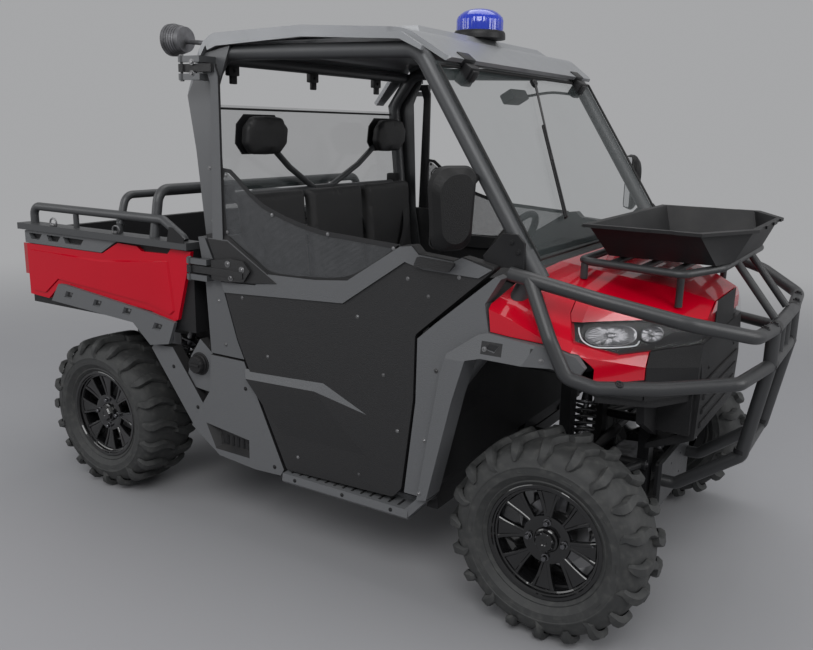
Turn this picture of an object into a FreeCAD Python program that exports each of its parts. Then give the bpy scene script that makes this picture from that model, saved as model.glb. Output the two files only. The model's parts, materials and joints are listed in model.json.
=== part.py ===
import FreeCAD, Part
import math
import os

# Side by side utility vehicle with a three-seat cab, a tilting cargo bed and fire-service fittings.
# Frame: +X is forwards, +Y is the vehicle's left, +Z is up. The origin is on the ground,
# midway along the overall length, on the centre plane. All sizes are millimetres.

# Overall sizes
overall_length = 3150.0
front_overhang = 546.0
wheelbase = 2108.0
front_track = 1320.0
rear_track = 1260.0
cab_setback = 1054.0
bed_setback = 1054.0

# Wheels: tyre, lugs and rim
tyre_diameter = 686.0
front_tyre_width = 229.0
rear_tyre_width = 279.0
bead_radius = 178.0
rim_flange_radius = 195.0
rim_wall = 8.0
rim_inset = 22.0
flange_width = 7.0
lug_height = 20.0
lug_length = 34.0
lugs_per_side = 16
tyre_facets = 20
spoke_count = 8
hub_bore_radius = 32.0
running_gap = 0.4

# Steering and suspension
kingpin_offset = 90.0
kingpin_radius = 9.0
ball_joint_rise = 92.0
steering_arm_length = 100.0
steering_arm_rise = 30.0
rack_radius = 12.0
arm_tube_radius = 14.0
bushing_radius = 18.0
arm_pivot_half_span = 165.0
half_shaft_radius = 14.0
shaft_z = 385.0
shock_radius = 38.0
seat_gap = 0.3

# Cab and body widths
cab_half_width = 750.0
door_thickness = 46.0
door_gap = 6.0
flare_half_width = 785.0
cage_half_width = 665.0
cage_tube_radius = 27.0
roof_half_width = 712.0
mirror_z = 1385.0
mirror_setback = 69.4
mirror_half_span = 862.0

# Heights
roof_height = 1950.0
floor_top = 372.0
frame_bottom = 285.0
frame_rail = 60.0

# Cargo bed
bed_half_width = 735.0
bed_wall = 28.0
bed_floor_bottom = 800.0
bed_floor_top = 842.0
bed_rim_height = 1135.0
bed_pivot_radius = 14.0
bed_pivot_z = 740.0
bed_pivot_back = 196.0
bed_ear_y = 331.0
bed_ear_thickness = 25.0
tailgate_thickness = 35.0

# Hitch and winch mounts
receiver_size = 50.8
receiver_wall = 6.4
receiver_pin_radius = 8.0
receiver_reach = 190.0
receiver_pin_inset = 48.0
winch_bolt_y = 123.8
winch_bolt_rise = 76.2
winch_bolt_z = 390.0

# Front end
bull_tube_radius = 22.0
rack_tube_radius = 13.0
panel_thickness = 14.0
panel_gap = 3.0

front_axle_x = overall_length / 2 - front_overhang
rear_axle_x = front_axle_x - wheelbase
cab_x = front_axle_x - cab_setback
bed_x = rear_axle_x + bed_setback
hub_z = tyre_diameter / 2
front_wheel_y = front_track / 2
rear_wheel_y = rear_track / 2
kingpin_y = front_wheel_y - kingpin_offset

RIGHT = -1
LEFT = 1
X_AXIS = FreeCAD.Vector(1, 0, 0)
Y_AXIS = FreeCAD.Vector(0, 1, 0)
Z_AXIS = FreeCAD.Vector(0, 0, 1)
ORIGIN = FreeCAD.Vector(0, 0, 0)


def save(name, *shapes, at=0.0):
    """Writes one sub-part of one or more solids. It is drawn from its own station, at."""
    solids = [s for shape in shapes for s in shape.Solids]
    whole = Part.makeCompound(solids)
    whole.translate(FreeCAD.Vector(at, 0, 0))
    whole.exportStep("parts/" + name + ".step")


def both(*shapes):
    """The shapes of the right side, and their mirror images."""
    return list(shapes) + [mirrored(s) for s in shapes]


def mirrored(shape):
    """The same shape on the other side of the centre plane."""
    return shape.mirror(ORIGIN, Y_AXIS)


def on_side(shape, side):
    """Shapes are drawn on the vehicle's right. The left one is its mirror image."""
    return shape if side == RIGHT else mirrored(shape)


def fused(shapes):
    """One solid out of several that overlap."""
    whole = shapes[0].multiFuse(shapes[1:]) if len(shapes) > 1 else shapes[0]
    return whole.removeSplitter()


def largest(shape):
    """The biggest solid, without the slivers that a cut may leave."""
    return max(shape.Solids, key=lambda s: s.Volume)


def point_in(plane, u, v, w):
    """A point from its place in a plane and its distance along that plane's normal."""
    if plane == "xz":
        return FreeCAD.Vector(u, w, v)
    if plane == "yz":
        return FreeCAD.Vector(w, u, v)
    return FreeCAD.Vector(u, v, w)


def outline_wire(points, plane, level, radius=0.0):
    """A closed outline with its corners rounded. Points are (u, v), or (u, v, corner radius)."""
    corners = [point_in(plane, p[0], p[1], level) for p in points]
    radii = [p[2] if len(p) > 2 else radius for p in points]
    count = len(corners)
    starts, ends, arcs = [], [], []
    for i in range(count):
        before, here, after = corners[i - 1], corners[i], corners[(i + 1) % count]
        back = (before - here).normalize()
        ahead = (after - here).normalize()
        half = back.getAngle(ahead) / 2
        reach = radii[i] / math.tan(half) if radii[i] > 0 else 0.0
        starts.append(here + back * reach)
        ends.append(here + ahead * reach)
        middle = (back + ahead).normalize()
        rise = radii[i] / math.sin(half) - radii[i] if radii[i] > 0 else 0.0
        arcs.append(here + middle * rise)
    edges = []
    for i in range(count):
        if radii[i] > 0:
            edges.append(Part.Arc(starts[i], arcs[i], ends[i]).toShape())
        following = starts[(i + 1) % count]
        if ends[i].distanceToPoint(following) > 0.01:
            edges.append(Part.LineSegment(ends[i], following).toShape())
    return Part.Wire(edges)


def prism(points, plane, start, end, radius=0.0):
    """A flat outline pushed from one level to another along its plane's normal."""
    face = Part.Face(outline_wire(points, plane, start, radius))
    return face.extrude(point_in(plane, 0, 0, end - start))


def block(low, high):
    """A plain box between two corners."""
    size = [high[i] - low[i] for i in range(3)]
    return Part.makeBox(size[0], size[1], size[2], FreeCAD.Vector(*low))


def rod(start, end, radius, end_radius=None):
    """A round bar, or a cone if it has a second radius."""
    a, b = FreeCAD.Vector(*start), FreeCAD.Vector(*end)
    if end_radius is None:
        return Part.makeCylinder(radius, a.distanceToPoint(b), a, b - a)
    return Part.makeCone(radius, end_radius, a.distanceToPoint(b), a, b - a)


def tube(points, radius, bend):
    """A bent round tube: straight runs, and a bend of one radius at each corner."""
    path = [FreeCAD.Vector(*p) for p in points]
    pieces, start = [], path[0]
    for i in range(1, len(path) - 1):
        ahead = (path[i] - path[i - 1]).normalize()
        after = (path[i + 1] - path[i]).normalize()
        turn = ahead.getAngle(after)
        reach = bend * math.tan(turn / 2)
        enter = path[i] - ahead * reach
        pieces.append(Part.makeCylinder(radius, start.distanceToPoint(enter), start, ahead))
        axis = ahead.cross(after).normalize()
        centre = enter + axis.cross(ahead) * bend
        disc = Part.Face(Part.Wire(Part.makeCircle(radius, enter, ahead)))
        pieces.append(disc.revolve(centre, axis, math.degrees(turn)))
        start = path[i] + after * reach
    last = path[-1] - start
    pieces.append(Part.makeCylinder(radius, last.Length, start, last))
    return fused(pieces)


def faceted(points, faces):
    """A solid with three-cornered faces, each a list of indexes into the points."""
    sides = []
    for face in faces:
        corners = [FreeCAD.Vector(*points[i]) for i in face]
        sides.append(Part.Face(Part.makePolygon(corners + [corners[0]])))
    solid = Part.Solid(Part.Shell(sides))
    if solid.Volume < 0:
        solid.reverse()
    return solid


def raised(outline, plane, base, height, slope):
    """A raised panel: its outline on the base, drawn in by the slope at its top."""
    us, vs = [p[0] for p in outline], [p[1] for p in outline]
    cu, cv = sum(us) / len(us), sum(vs) / len(vs)
    top = []
    for u, v in outline:
        reach = math.hypot(u - cu, v - cv)
        top.append((u + (cu - u) * slope / reach, v + (cv - v) * slope / reach))
    return loft([(base, outline), (base + height, top)], plane)


def loft(sections, plane):
    """A solid between outlines. Each section is (level, points), all with as many points."""
    wires = [outline_wire(points, plane, level) for level, points in sections]
    return Part.makeLoft(wires, True, True)


def revolved(profile, centre, axis=Y_AXIS):
    """A turned solid round the Y axis through centre. The profile is (y, r) pairs."""
    points = [FreeCAD.Vector(0, y, r) for y, r in profile]
    points.append(points[0])
    face = Part.Face(Part.makePolygon(points))
    solid = face.revolve(ORIGIN, axis, 360)
    solid.translate(centre)
    return solid


# Wheels

def tyre(width):
    """A tyre at the origin, axis along Y, its outer side towards -Y. Lugs lean as on a drawn tread."""
    outer = tyre_diameter / 2
    base = outer - lug_height
    half = width / 2
    bead_half = half - rim_inset - flange_width - seat_gap
    bead = (bead_radius + seat_gap) / math.cos(math.pi / tyre_facets)
    rings = [
        (-bead_half, bead),
        (-bead_half, rim_flange_radius + 4),
        (-1.00 * half, bead_radius + 60),
        (-0.94 * half, base - 36),
        (-0.70 * half, base - 4),
        (0.70 * half, base - 4),
        (0.94 * half, base - 36),
        (1.00 * half, bead_radius + 60),
        (bead_half, rim_flange_radius + 4),
        (bead_half, bead),
    ]
    step = 2 * math.pi / tyre_facets
    faces = []
    for i in range(tyre_facets):
        near, far = i * step, (i + 1) * step
        for k in range(len(rings)):
            (ya, ra), (yb, rb) = rings[k - 1], rings[k]
            corners = [(ya, ra, near), (yb, rb, near), (yb, rb, far), (ya, ra, far)]
            points = [FreeCAD.Vector(r * math.sin(t), y, r * math.cos(t)) for y, r, t in corners]
            faces.append(Part.Face(Part.makePolygon(points + [points[0]])))
    carcass = Part.Solid(Part.Shell(faces))
    if carcass.Volume < 0:
        carcass.reverse()
    lug = prism(
        [
            (0.04 * half, base - 20),
            (0.04 * half, outer),
            (0.80 * half, outer - 2),
            (1.03 * half, outer - 34),
            (1.05 * half, outer - 74),
            (0.80 * half, outer - 74),
        ],
        "yz", -lug_length / 2, lug_length / 2)
    lug.rotate(ORIGIN, Z_AXIS, -14)
    lugs = []
    pitch = 360.0 / lugs_per_side
    for i in range(lugs_per_side):
        for side, shift in ((1, 0.0), (-1, pitch / 2)):
            piece = lug.copy() if side == 1 else mirrored(lug)
            piece.rotate(ORIGIN, Y_AXIS, i * pitch + shift)
            lugs.append(piece)
    return carcass.multiFuse(lugs)


def rim(width):
    """A cast rim at the origin, its outer face towards -Y: barrel, flanges, dished face and hub cap."""
    half = width / 2 - rim_inset
    face_y = -half + 26
    barrel = revolved([
        (-half, rim_flange_radius), (-half + flange_width, rim_flange_radius), (-half + flange_width, bead_radius),
        (half - flange_width, bead_radius), (half - flange_width, rim_flange_radius), (half, rim_flange_radius),
        (half, bead_radius - rim_wall - 6), (-half, bead_radius - rim_wall - 6),
    ], ORIGIN)
    face = revolved([
        (face_y + 22, hub_bore_radius), (face_y + 22, 70), (face_y - 2, bead_radius - rim_wall - 4),
        (face_y - 20, bead_radius - rim_wall - 4), (face_y - 2, 72), (face_y - 4, 0), (face_y + 6, 0),
        (face_y + 6, hub_bore_radius),
    ], ORIGIN)
    boss = revolved([
        (face_y + 20, hub_bore_radius), (face_y + 20, 60), (face_y + 48, 60), (face_y + 48, hub_bore_radius),
    ], ORIGIN)
    cap = revolved([(face_y + 2, 0), (face_y + 2, 33), (face_y - 18, 31), (face_y - 22, 24), (face_y - 22, 0)], ORIGIN)
    window = prism([(-13, 86), (13, 86), (34, 150), (27, 160), (-27, 160), (-34, 150)], "xz", -half - 5, face_y + 60)
    split = prism([(-4, 100), (4, 100), (11, 158), (-11, 158)], "xz", -half - 5, face_y + 60)
    windows = []
    for i in range(spoke_count):
        for opening, turn in ((window, i + 0.5), (split, i)):
            cut = opening.copy()
            cut.rotate(ORIGIN, Y_AXIS, turn * 360.0 / spoke_count)
            windows.append(cut)
    dish = face.cut(Part.makeCompound(windows))
    return fused([barrel, dish, boss, cap])


def wheel_places():
    """name, side, x, y and tyre width of the four wheels."""
    return [
        ("front_right", RIGHT, front_axle_x, front_wheel_y, front_tyre_width),
        ("front_left", LEFT, front_axle_x, front_wheel_y, front_tyre_width),
        ("rear_right", RIGHT, rear_axle_x, rear_wheel_y, rear_tyre_width),
        ("rear_left", LEFT, rear_axle_x, rear_wheel_y, rear_tyre_width),
    ]


def make_wheels():
    forms = {w: (tyre(w), rim(w)) for w in {front_tyre_width, rear_tyre_width}}
    for name, side, x, y, width in wheel_places():
        for kind, form in zip(("tyre_", "rim_"), forms[width]):
            piece = on_side(form, side)
            piece = piece.copy()
            piece.translate(FreeCAD.Vector(x, side * y, hub_z))
            save(kind + name, piece)


def hub_face(width):
    """How far inboard of the wheel's middle the rim's hub boss ends."""
    return -(width / 2 - rim_inset) + 26 + 48


def hub_floor(width):
    """Where the rim's blind hub bore ends, measured inboard from the wheel's middle."""
    return -(width / 2 - rim_inset) + 26 + 6


# Steering, suspension and driveline

boss_half = 15.0
rail_y = 190.0
arm_pivot_y = rail_y + frame_rail / 2 + bushing_radius + seat_gap


def ball_boss_z(end):
    """Height of the middle of an arm's outer boss, below or above the knuckle's ear."""
    return hub_z + end * (ball_joint_rise + 2 * boss_half + seat_gap)


def knuckle():
    """The right front knuckle, drawn in the vehicle's frame: plate, two ears, arm, spindle, caliper."""
    x, y = front_axle_x, -kingpin_y
    plate = prism([(x - 48, hub_z - 112, 20), (x + 48, hub_z - 112, 20), (x + 48, hub_z + 112, 20),
                   (x - 48, hub_z + 112, 20)], "xz", y - 40, y - 24)
    parts = [plate]
    for end in (-1, 1):
        z = hub_z + end * ball_joint_rise
        parts.append(rod((x, y, z - boss_half), (x, y, z + boss_half), 21))
        parts.append(block((x - 21, y - 30, z - boss_half), (x + 21, y, z + boss_half)))
    spindle_end = front_wheel_y - hub_floor(front_tyre_width) - 0.5
    parts.append(rod((x, y - 24, hub_z), (x, y - 60, hub_z), 52, 44))
    parts.append(rod((x, y - 50, hub_z), (x, -spindle_end, hub_z), hub_bore_radius - running_gap))
    arm_z = hub_z + steering_arm_rise
    arm = prism([(x - 40, y - 40), (x - 40, y - 24), (x - steering_arm_length + 14, y + 22),
                 (x - steering_arm_length - 6, y + 6), (x - 48, y - 40)], "xy", arm_z - 9, arm_z + 9)
    eye = rod((x - steering_arm_length, y + 10, arm_z - 9), (x - steering_arm_length, y + 10, arm_z + 9), 17)
    parts += [arm, eye]
    disc_y = -front_wheel_y + 8
    caliper = block((x - 40, disc_y - 22, hub_z + 84), (x + 40, y - 30, hub_z + 138))
    slot = block((x - 60, disc_y - 10, hub_z + 60), (x + 60, disc_y + 10, hub_z + 126))
    body = fused(parts + [caliper]).cut(slot)
    for end in (-1, 1):
        z = hub_z + end * ball_joint_rise
        body = body.cut(rod((x, y, z - 40), (x, y, z + 40), kingpin_radius + running_gap))
    cup = rod((x, y + 30, hub_z), (x, y - 22, hub_z), 49)
    return body.cut(cup)


def front_arm(end):
    """A right wishbone: a pivot tube along the rail, two legs and a boss with its kingpin."""
    x, z_out = front_axle_x, ball_boss_z(end)
    z_in = frame_bottom + 30 if end < 0 else 470.0
    y_out = -kingpin_y
    ends = [(x - arm_pivot_half_span, -arm_pivot_y, z_in), (x + arm_pivot_half_span, -arm_pivot_y, z_in)]
    parts = [rod(ends[0], ends[1], bushing_radius)]
    parts += [rod((ends[0][0] + 18, -arm_pivot_y, z_in), (x, y_out, z_out), arm_tube_radius)]
    parts += [rod((ends[1][0] - 18, -arm_pivot_y, z_in), (x, y_out, z_out), arm_tube_radius)]
    middle = y_out + 0.33 * (kingpin_y - arm_pivot_y)
    z_mid = z_out + 0.33 * (z_in - z_out)
    parts.append(rod((x - 62, middle, z_mid), (x + 62, middle, z_mid), arm_tube_radius * 0.8))
    parts.append(rod((x, y_out, z_out - boss_half), (x, y_out, z_out + boss_half), 20))
    body = fused(parts)
    # The ears' side of the boss stays flat where the legs run in.
    ear_face = z_out - end * boss_half
    keep_out = block((x - 60, y_out - 60, min(ear_face, hub_z)), (x + 60, y_out + 60, max(ear_face, hub_z)))
    body = body.cut(keep_out)
    pin_end = hub_z + end * (ball_joint_rise - boss_half + 3)
    return fused([body, rod((x, y_out, z_out), (x, y_out, pin_end), kingpin_radius)])


def rear_carrier():
    """The right rear hub carrier with its spindle, trailing arm and two radius rods."""
    x, y = rear_axle_x, -(rear_wheel_y - 40)
    plate = prism([(x - 55, hub_z - 90, 18), (x + 55, hub_z - 90, 18), (x + 70, hub_z + 40, 18),
                   (x + 20, hub_z + 95, 18), (x - 55, hub_z + 95, 18)], "xz", y - 14, y + 14)
    spindle_end = rear_wheel_y - hub_floor(rear_tyre_width) - 0.5
    parts = [
        plate,
        rod((x, y - 10, hub_z), (x, y - 50, hub_z), 56, 46),
        rod((x, y - 40, hub_z), (x, -spindle_end, hub_z), hub_bore_radius - running_gap),
        tube([(x + 540, -360, hub_z + 40), (x + 130, -440, hub_z + 5), (x + 66, y, hub_z)], 23, 60),
        rod((x + 540, -402, hub_z + 40), (x + 540, -rear_rail_y - frame_rail / 2 - seat_gap, hub_z + 40), 28),
    ]
    for rise, inner_rise in ((-62, -20), (68, 110)):
        parts.append(rod((x - 30, y, hub_z + rise), (x - 60, -rear_rail_y + 20, hub_z + inner_rise), 13))
    return fused(parts)


def shock(low, high):
    """A damper with its spring: eye ends, body, spring seats and the spring as one drum."""
    a, b = FreeCAD.Vector(*low), FreeCAD.Vector(*high)
    way = (b - a).normalize()
    length = a.distanceToPoint(b)

    def along(t):
        return a + way * t
    parts = [
        Part.makeCylinder(12, length, a, way),
        Part.makeCylinder(22, length * 0.4, along(length * 0.08), way),
        Part.makeCylinder(shock_radius + 4, 8, along(length * 0.14), way),
        Part.makeCylinder(shock_radius, length * 0.7, along(length * 0.14), way),
        Part.makeCylinder(shock_radius + 4, 8, along(length * 0.84), way),
    ]
    for end in (a, b):
        parts.append(Part.makeCylinder(17, 30, end - X_AXIS * 15, X_AXIS))
    return fused(parts)


def make_suspension():
    save("knuckle_right", knuckle())
    save("knuckle_left", mirrored(knuckle()))
    arms = both(front_arm(-1), front_arm(1))
    save("front_suspension_arms", *arms)
    save("rear_suspension_arms", *both(rear_carrier()))
    x = front_axle_x
    front = shock((x, -470, 496), (x - 20, -370, 744.7))
    rear = shock((rear_axle_x + 130, -440, hub_z + 46.6), (rear_axle_x + 190, -372, 682.7))
    save("shock_absorbers", *both(front, rear))
    eye_x = x - steering_arm_length
    rack_z = hub_z + steering_arm_rise + 28
    eye_y = kingpin_y - 10
    bar = rod((eye_x, -eye_y, rack_z), (eye_x, eye_y, rack_z), rack_radius)
    eyes = both(rod((eye_x, -eye_y, rack_z - 13), (eye_x, -eye_y, rack_z + 13), 17))
    save("steering_rack", fused([bar] + eyes))


def prop_shaft(radius):
    """The shaft from the rear gearbox to the front one, with one joint where it turns down."""
    x, r = front_axle_x, rear_axle_x
    bend = (x - 420, 0, shaft_z)
    level = rod((r + 100, 0, shaft_z), bend, radius)
    fall = rod(bend, (x - 30, 0, shaft_z - 30), radius)
    joint = Part.makeSphere(radius + 6, FreeCAD.Vector(*bend))
    return fused([level, fall, joint])


def half_shaft(inner, outer, joint_radius):
    """A driven shaft along one line: bellows at the inner end, a bellows and a joint at the outer end."""
    a, b = FreeCAD.Vector(*inner), FreeCAD.Vector(*outer)
    way = (b - a).normalize()
    length = a.distanceToPoint(b)
    profile = [(0, 40), (24, 40), (62, 22), (62, half_shaft_radius), (length - 84, half_shaft_radius),
               (length - 84, 22), (length - 26, joint_radius), (length, joint_radius)]
    pieces = []
    for (ta, ra), (tb, rb) in zip(profile, profile[1:]):
        if tb > ta and ra == rb:
            pieces.append(Part.makeCylinder(ra, tb - ta, a + way * ta, way))
        elif tb > ta:
            pieces.append(Part.makeCone(ra, rb, tb - ta, a + way * ta, way))
    return fused(pieces)


def make_driveline():
    x, r = front_axle_x, rear_axle_x
    inner = kingpin_y - 6
    front_box = prism([(x - 70, 370, 25), (x - 55, 300, 25), (x + 80, 300, 25), (x + 95, 360, 25),
                       (x + 60, 425, 25), (x - 25, 420, 25)], "xz", -95, 95)
    halves = both(half_shaft((x, -80, hub_z + 30), (x, -kingpin_y - 6, hub_z), 38))
    rear_box = prism([(r - 120, 320, 30), (r + 100, 300, 30), (r + 150, 380, 30), (r + 130, 520, 30),
                      (r - 90, 500, 30)], "xz", -120, 120)
    rear_y = rear_wheel_y - 40 - 14 - 2 * seat_gap - 2
    tails = both(half_shaft((r, -105, hub_z + 30), (r, -rear_y, hub_z), 34))
    save("driveline", fused([front_box, rear_box, prop_shaft(16)] + halves + tails))
    engine = prism([(r + 150.3, 400, 40), (r + 170, 345.3), (r + 600, 345.3), (r + 640, 480, 40),
                    (r + 560, 745, 40), (r + 260, 745, 40), (r + 150.3, 600, 40)], "xz", -230, 230)
    engine = engine.cut(prop_shaft(24))
    save("engine", engine)
    save("muffler", fused([
        rod((r - 170, -190, 560), (r - 170, 190, 560), 82),
        rod((r - 170, 120, 560), (r - 330, 120, 560), 24),
        tube([(r - 170, -100, 560), (r - 60, -100, 600), (r + 150, -100, 600)], 22, 40),
        block((r - 185, -rear_rail_y + frame_rail / 2 - 6, 600), (r - 150, rear_rail_y - frame_rail / 2 + 6, 618)),
    ]).cut(rod((r - 280, 120, 560), (r - 340, 120, 560), 20)))


# Frame

rear_rail_y = 300.0


def box_tube(low, high):
    return block([min(a, b) for a, b in zip(low, high)], [max(a, b) for a, b in zip(low, high)])


def make_frame():
    x, r = front_axle_x, rear_axle_x
    h = frame_rail / 2
    base, top = frame_bottom, frame_bottom + frame_rail
    front, back = x + 200, r - 250
    parts = []
    for s in (-1, 1):
        parts.append(box_tube((back, s * (rail_y - h), base), (front, s * (rail_y + h), top)))
        for px in (x - 154, x + 146):
            parts.append(box_tube((px - 20, s * (rail_y - h), base), (px + 20, s * (rail_y + h), 790)))
        parts.append(box_tube((x - 380, s * (rail_y - h), 740), (x + 190, s * (rail_y + h), 790)))
        parts.append(box_tube((x - 60, s * rail_y, 762), (x + 20, s * 410, 778)))
        parts.append(box_tube((x - 60, s * 330, 762), (x + 20, s * 410, 800)))
        for px in (r - 215, r + 545):
            parts.append(box_tube((px - 25, s * (rear_rail_y - h), base), (px + 25, s * (rear_rail_y + h), 690)))
        parts.append(box_tube((r - 240, s * (rear_rail_y - h), 640), (r + 590, s * (rear_rail_y + h), 700)))
        parts.append(box_tube((r + 400, s * (rear_rail_y - h), 690), (r + 450, s * (rear_rail_y + h),
                              bed_floor_bottom - seat_gap)))
        parts.append(box_tube((r + 170, s * rear_rail_y, 700), (r + 210, s * 390, 745)))
        for px in (x - 470, x - 800, x - 1330):
            parts.append(box_tube((px - 22, s * rail_y, base + 8), (px + 22, s * 640, top)))
        lug_x = r - bed_pivot_back
        lug = prism([(lug_x - 26, 660), (lug_x + 26, 660), (lug_x + 26, bed_pivot_z, 10),
                     (lug_x + 18, bed_pivot_z + 26, 12), (lug_x - 18, bed_pivot_z + 26, 12),
                     (lug_x - 26, bed_pivot_z, 10)], "xz", s * 296, s * 318)
        parts.append(lug)
        parts.append(rod((lug_x, s * 290, bed_pivot_z),
                         (lug_x, s * (bed_ear_y + bed_ear_thickness + 14), bed_pivot_z), bed_pivot_radius))
        parts.append(rod((lug_x, s * (bed_ear_y + bed_ear_thickness + 6), bed_pivot_z),
                         (lug_x, s * (bed_ear_y + bed_ear_thickness + 14), bed_pivot_z), bed_pivot_radius + 8))
    for px in (x + 170, x - 154, x - 470, x - 800):
        parts.append(box_tube((px - 25, -rail_y, base), (px + 25, rail_y, top)))
    for px in (r + 545, r - 215):
        parts.append(box_tube((px - 25, -rear_rail_y, base), (px + 25, rear_rail_y, top)))
    for px in (x - 350, x + 165):
        parts.append(box_tube((px - 20, -rail_y, 740), (px + 20, rail_y, 790)))
    # The rack's housing is a tube on a plate between the front uprights.
    rack_x, rack_z = x - steering_arm_length, hub_z + steering_arm_rise + 28
    parts.append(rod((rack_x, -260, rack_z), (rack_x, 260, rack_z), rack_radius + 10))
    for s in (-1, 1):
        parts.append(box_tube((rack_x - 60, s * (rail_y - 12), base + 20), (rack_x + 18, s * (rail_y + 12), rack_z)))
    # Hitch receiver at the back, and a plate in front for the winch.
    hitch_z = base + 115
    half = receiver_size / 2 + receiver_wall
    parts.append(box_tube((back - receiver_reach, -half, hitch_z - half), (back + 60, half, hitch_z + half)))
    parts.append(box_tube((back + 10, -rear_rail_y, hitch_z - half), (back + 60, rear_rail_y, hitch_z + half)))
    plate = [(-195, base, 15), (195, base, 15), (195, 470, 15), (-195, 470, 15)]
    parts.append(prism(plate, "yz", x + 188, x + 200))
    whole = fused(parts)
    bore = box_tube((back - receiver_reach - 10, -receiver_size / 2, hitch_z - receiver_size / 2),
                    (back, receiver_size / 2, hitch_z + receiver_size / 2))
    pin_x = back - receiver_reach + receiver_pin_inset
    pin = rod((pin_x, -60, hitch_z), (pin_x, 60, hitch_z), receiver_pin_radius)
    winch = [rod((x + 180, sy * winch_bolt_y / 2, winch_bolt_z + sz * winch_bolt_rise / 2), (x + 210, sy * winch_bolt_y / 2,
             winch_bolt_z + sz * winch_bolt_rise / 2), 4.5) for sy in (-1, 1) for sz in (-1, 1)]
    passage = rod((rack_x, -300, rack_z), (rack_x, 300, rack_z), rack_radius + running_gap)
    whole = whole.cut(Part.makeCompound([bore, pin, passage] + winch))
    save("frame", whole)


# Cab

floor_seat = frame_bottom + frame_rail + seat_gap
door_hinge_x = -445.0
door_hinge_y = 775.0
lower_hinge_z = 1070.0
upper_hinge_z = roof_height - 140

# Side view of the cage's tube, from the windscreen's foot over the roof to the sill.
CAGE_SIDE = [(935, 1200), (506, roof_height - 92), (-332, roof_height - 81), (-448, roof_height - 235), (-385, 1160),
             (-330, 830), (-330, floor_seat)]
CAGE_FOOT = [(935, 1200), (830, 985), (585, 640), (585, floor_seat)]


def along(low, high, z):
    """Where a tube between two corners of the cage's side stands at a height."""
    (x_low, z_low), (x_high, z_high) = low, high
    return x_low + (x_high - x_low) * (z - z_low) / (z_high - z_low)


def pillar_x(z):
    """How far forward the windscreen's pillar stands at a height."""
    return along(CAGE_SIDE[0], CAGE_SIDE[1], z)


rear_bar_z = 1330.0
rear_bar_x = along(CAGE_SIDE[4], CAGE_SIDE[3], rear_bar_z)
CAGE_CROSSES = [(484, roof_height - 96), (-376, roof_height - 100), (rear_bar_x, rear_bar_z), (-385, 1165), (900, 1098)]


def cage_tubes(spare=0.0):
    """The cage's own tubes. With a spare it is the room that panels leave round them."""
    y = -cage_half_width
    r = cage_tube_radius + spare
    side = tube([(x, y, z) for x, z in CAGE_SIDE], r, 85)
    foot = tube([(x, y, z) for x, z in CAGE_FOOT], r, 70)
    joint = rod((905, y, 1246), (958, y, 1165), r + 5)
    crosses = [rod((x, y, z), (x, -y, z), r - 4) for x, z in CAGE_CROSSES]
    return both(side, foot, joint) + crosses


def cage_room():
    """The tubes with the room round them, as one solid for the panels to be cut by."""
    if not CAGE_ROOM:
        CAGE_ROOM.append(fused(cage_tubes(seat_gap)))
    return CAGE_ROOM[0]


CAGE_ROOM = []


def make_cage():
    y = -cage_half_width
    r = cage_tube_radius
    top = roof_height
    post = prism([(-502, top - 233), (-400, top - 82), (-280, top - 60), (-351, top - 223), (-324, 1184),
                  (-255, 830), (-356, 830), (-426, 1163), (-466, top - 435)], "xz", y - r + 3, y - r - 5)
    cover = prism([(-428, 1190), (-392, 1186), (-314, 1028), (-240, 806), (-206, 736), (-378, 736), (-396, 1020)],
                  "xz", -cab_half_width + 8, y - r + 4)
    hinges = []
    for z in (lower_hinge_z, upper_hinge_z):
        barrel = rod((door_hinge_x, -door_hinge_y, z - 42), (door_hinge_x, -door_hinge_y, z + 42), 12)
        leaf = block((door_hinge_x, -door_hinge_y - 6, z - 42), (-350, -door_hinge_y + 10, z + 42))
        web = block((-400, -door_hinge_y, z - 42), (-350, y - r + 2, z + 42))
        slot = block((door_hinge_x - 30, -door_hinge_y - 30, z - 20), (-340, -door_hinge_y + 60, z + 20))
        pin = rod((door_hinge_x, -door_hinge_y, z - 40), (door_hinge_x, -door_hinge_y, z + 40), 5)
        hinges.append(fused([fused([barrel, leaf, web]).cut(slot), pin]))
    pieces = cage_tubes() + both(post, cover, *hinges)
    for s in (-1, 1):
        pieces.append(tube([(rear_bar_x, s * 30, rear_bar_z), (-380, s * 250, 1440), (-360, s * 452, 1580)], 13, 60))
    pieces.append(block((rear_bar_x - 21, -70, rear_bar_z - 12), (rear_bar_x + 21, 70, rear_bar_z + 26)))
    save("roll_cage", fused(pieces), at=cab_x)


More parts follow.
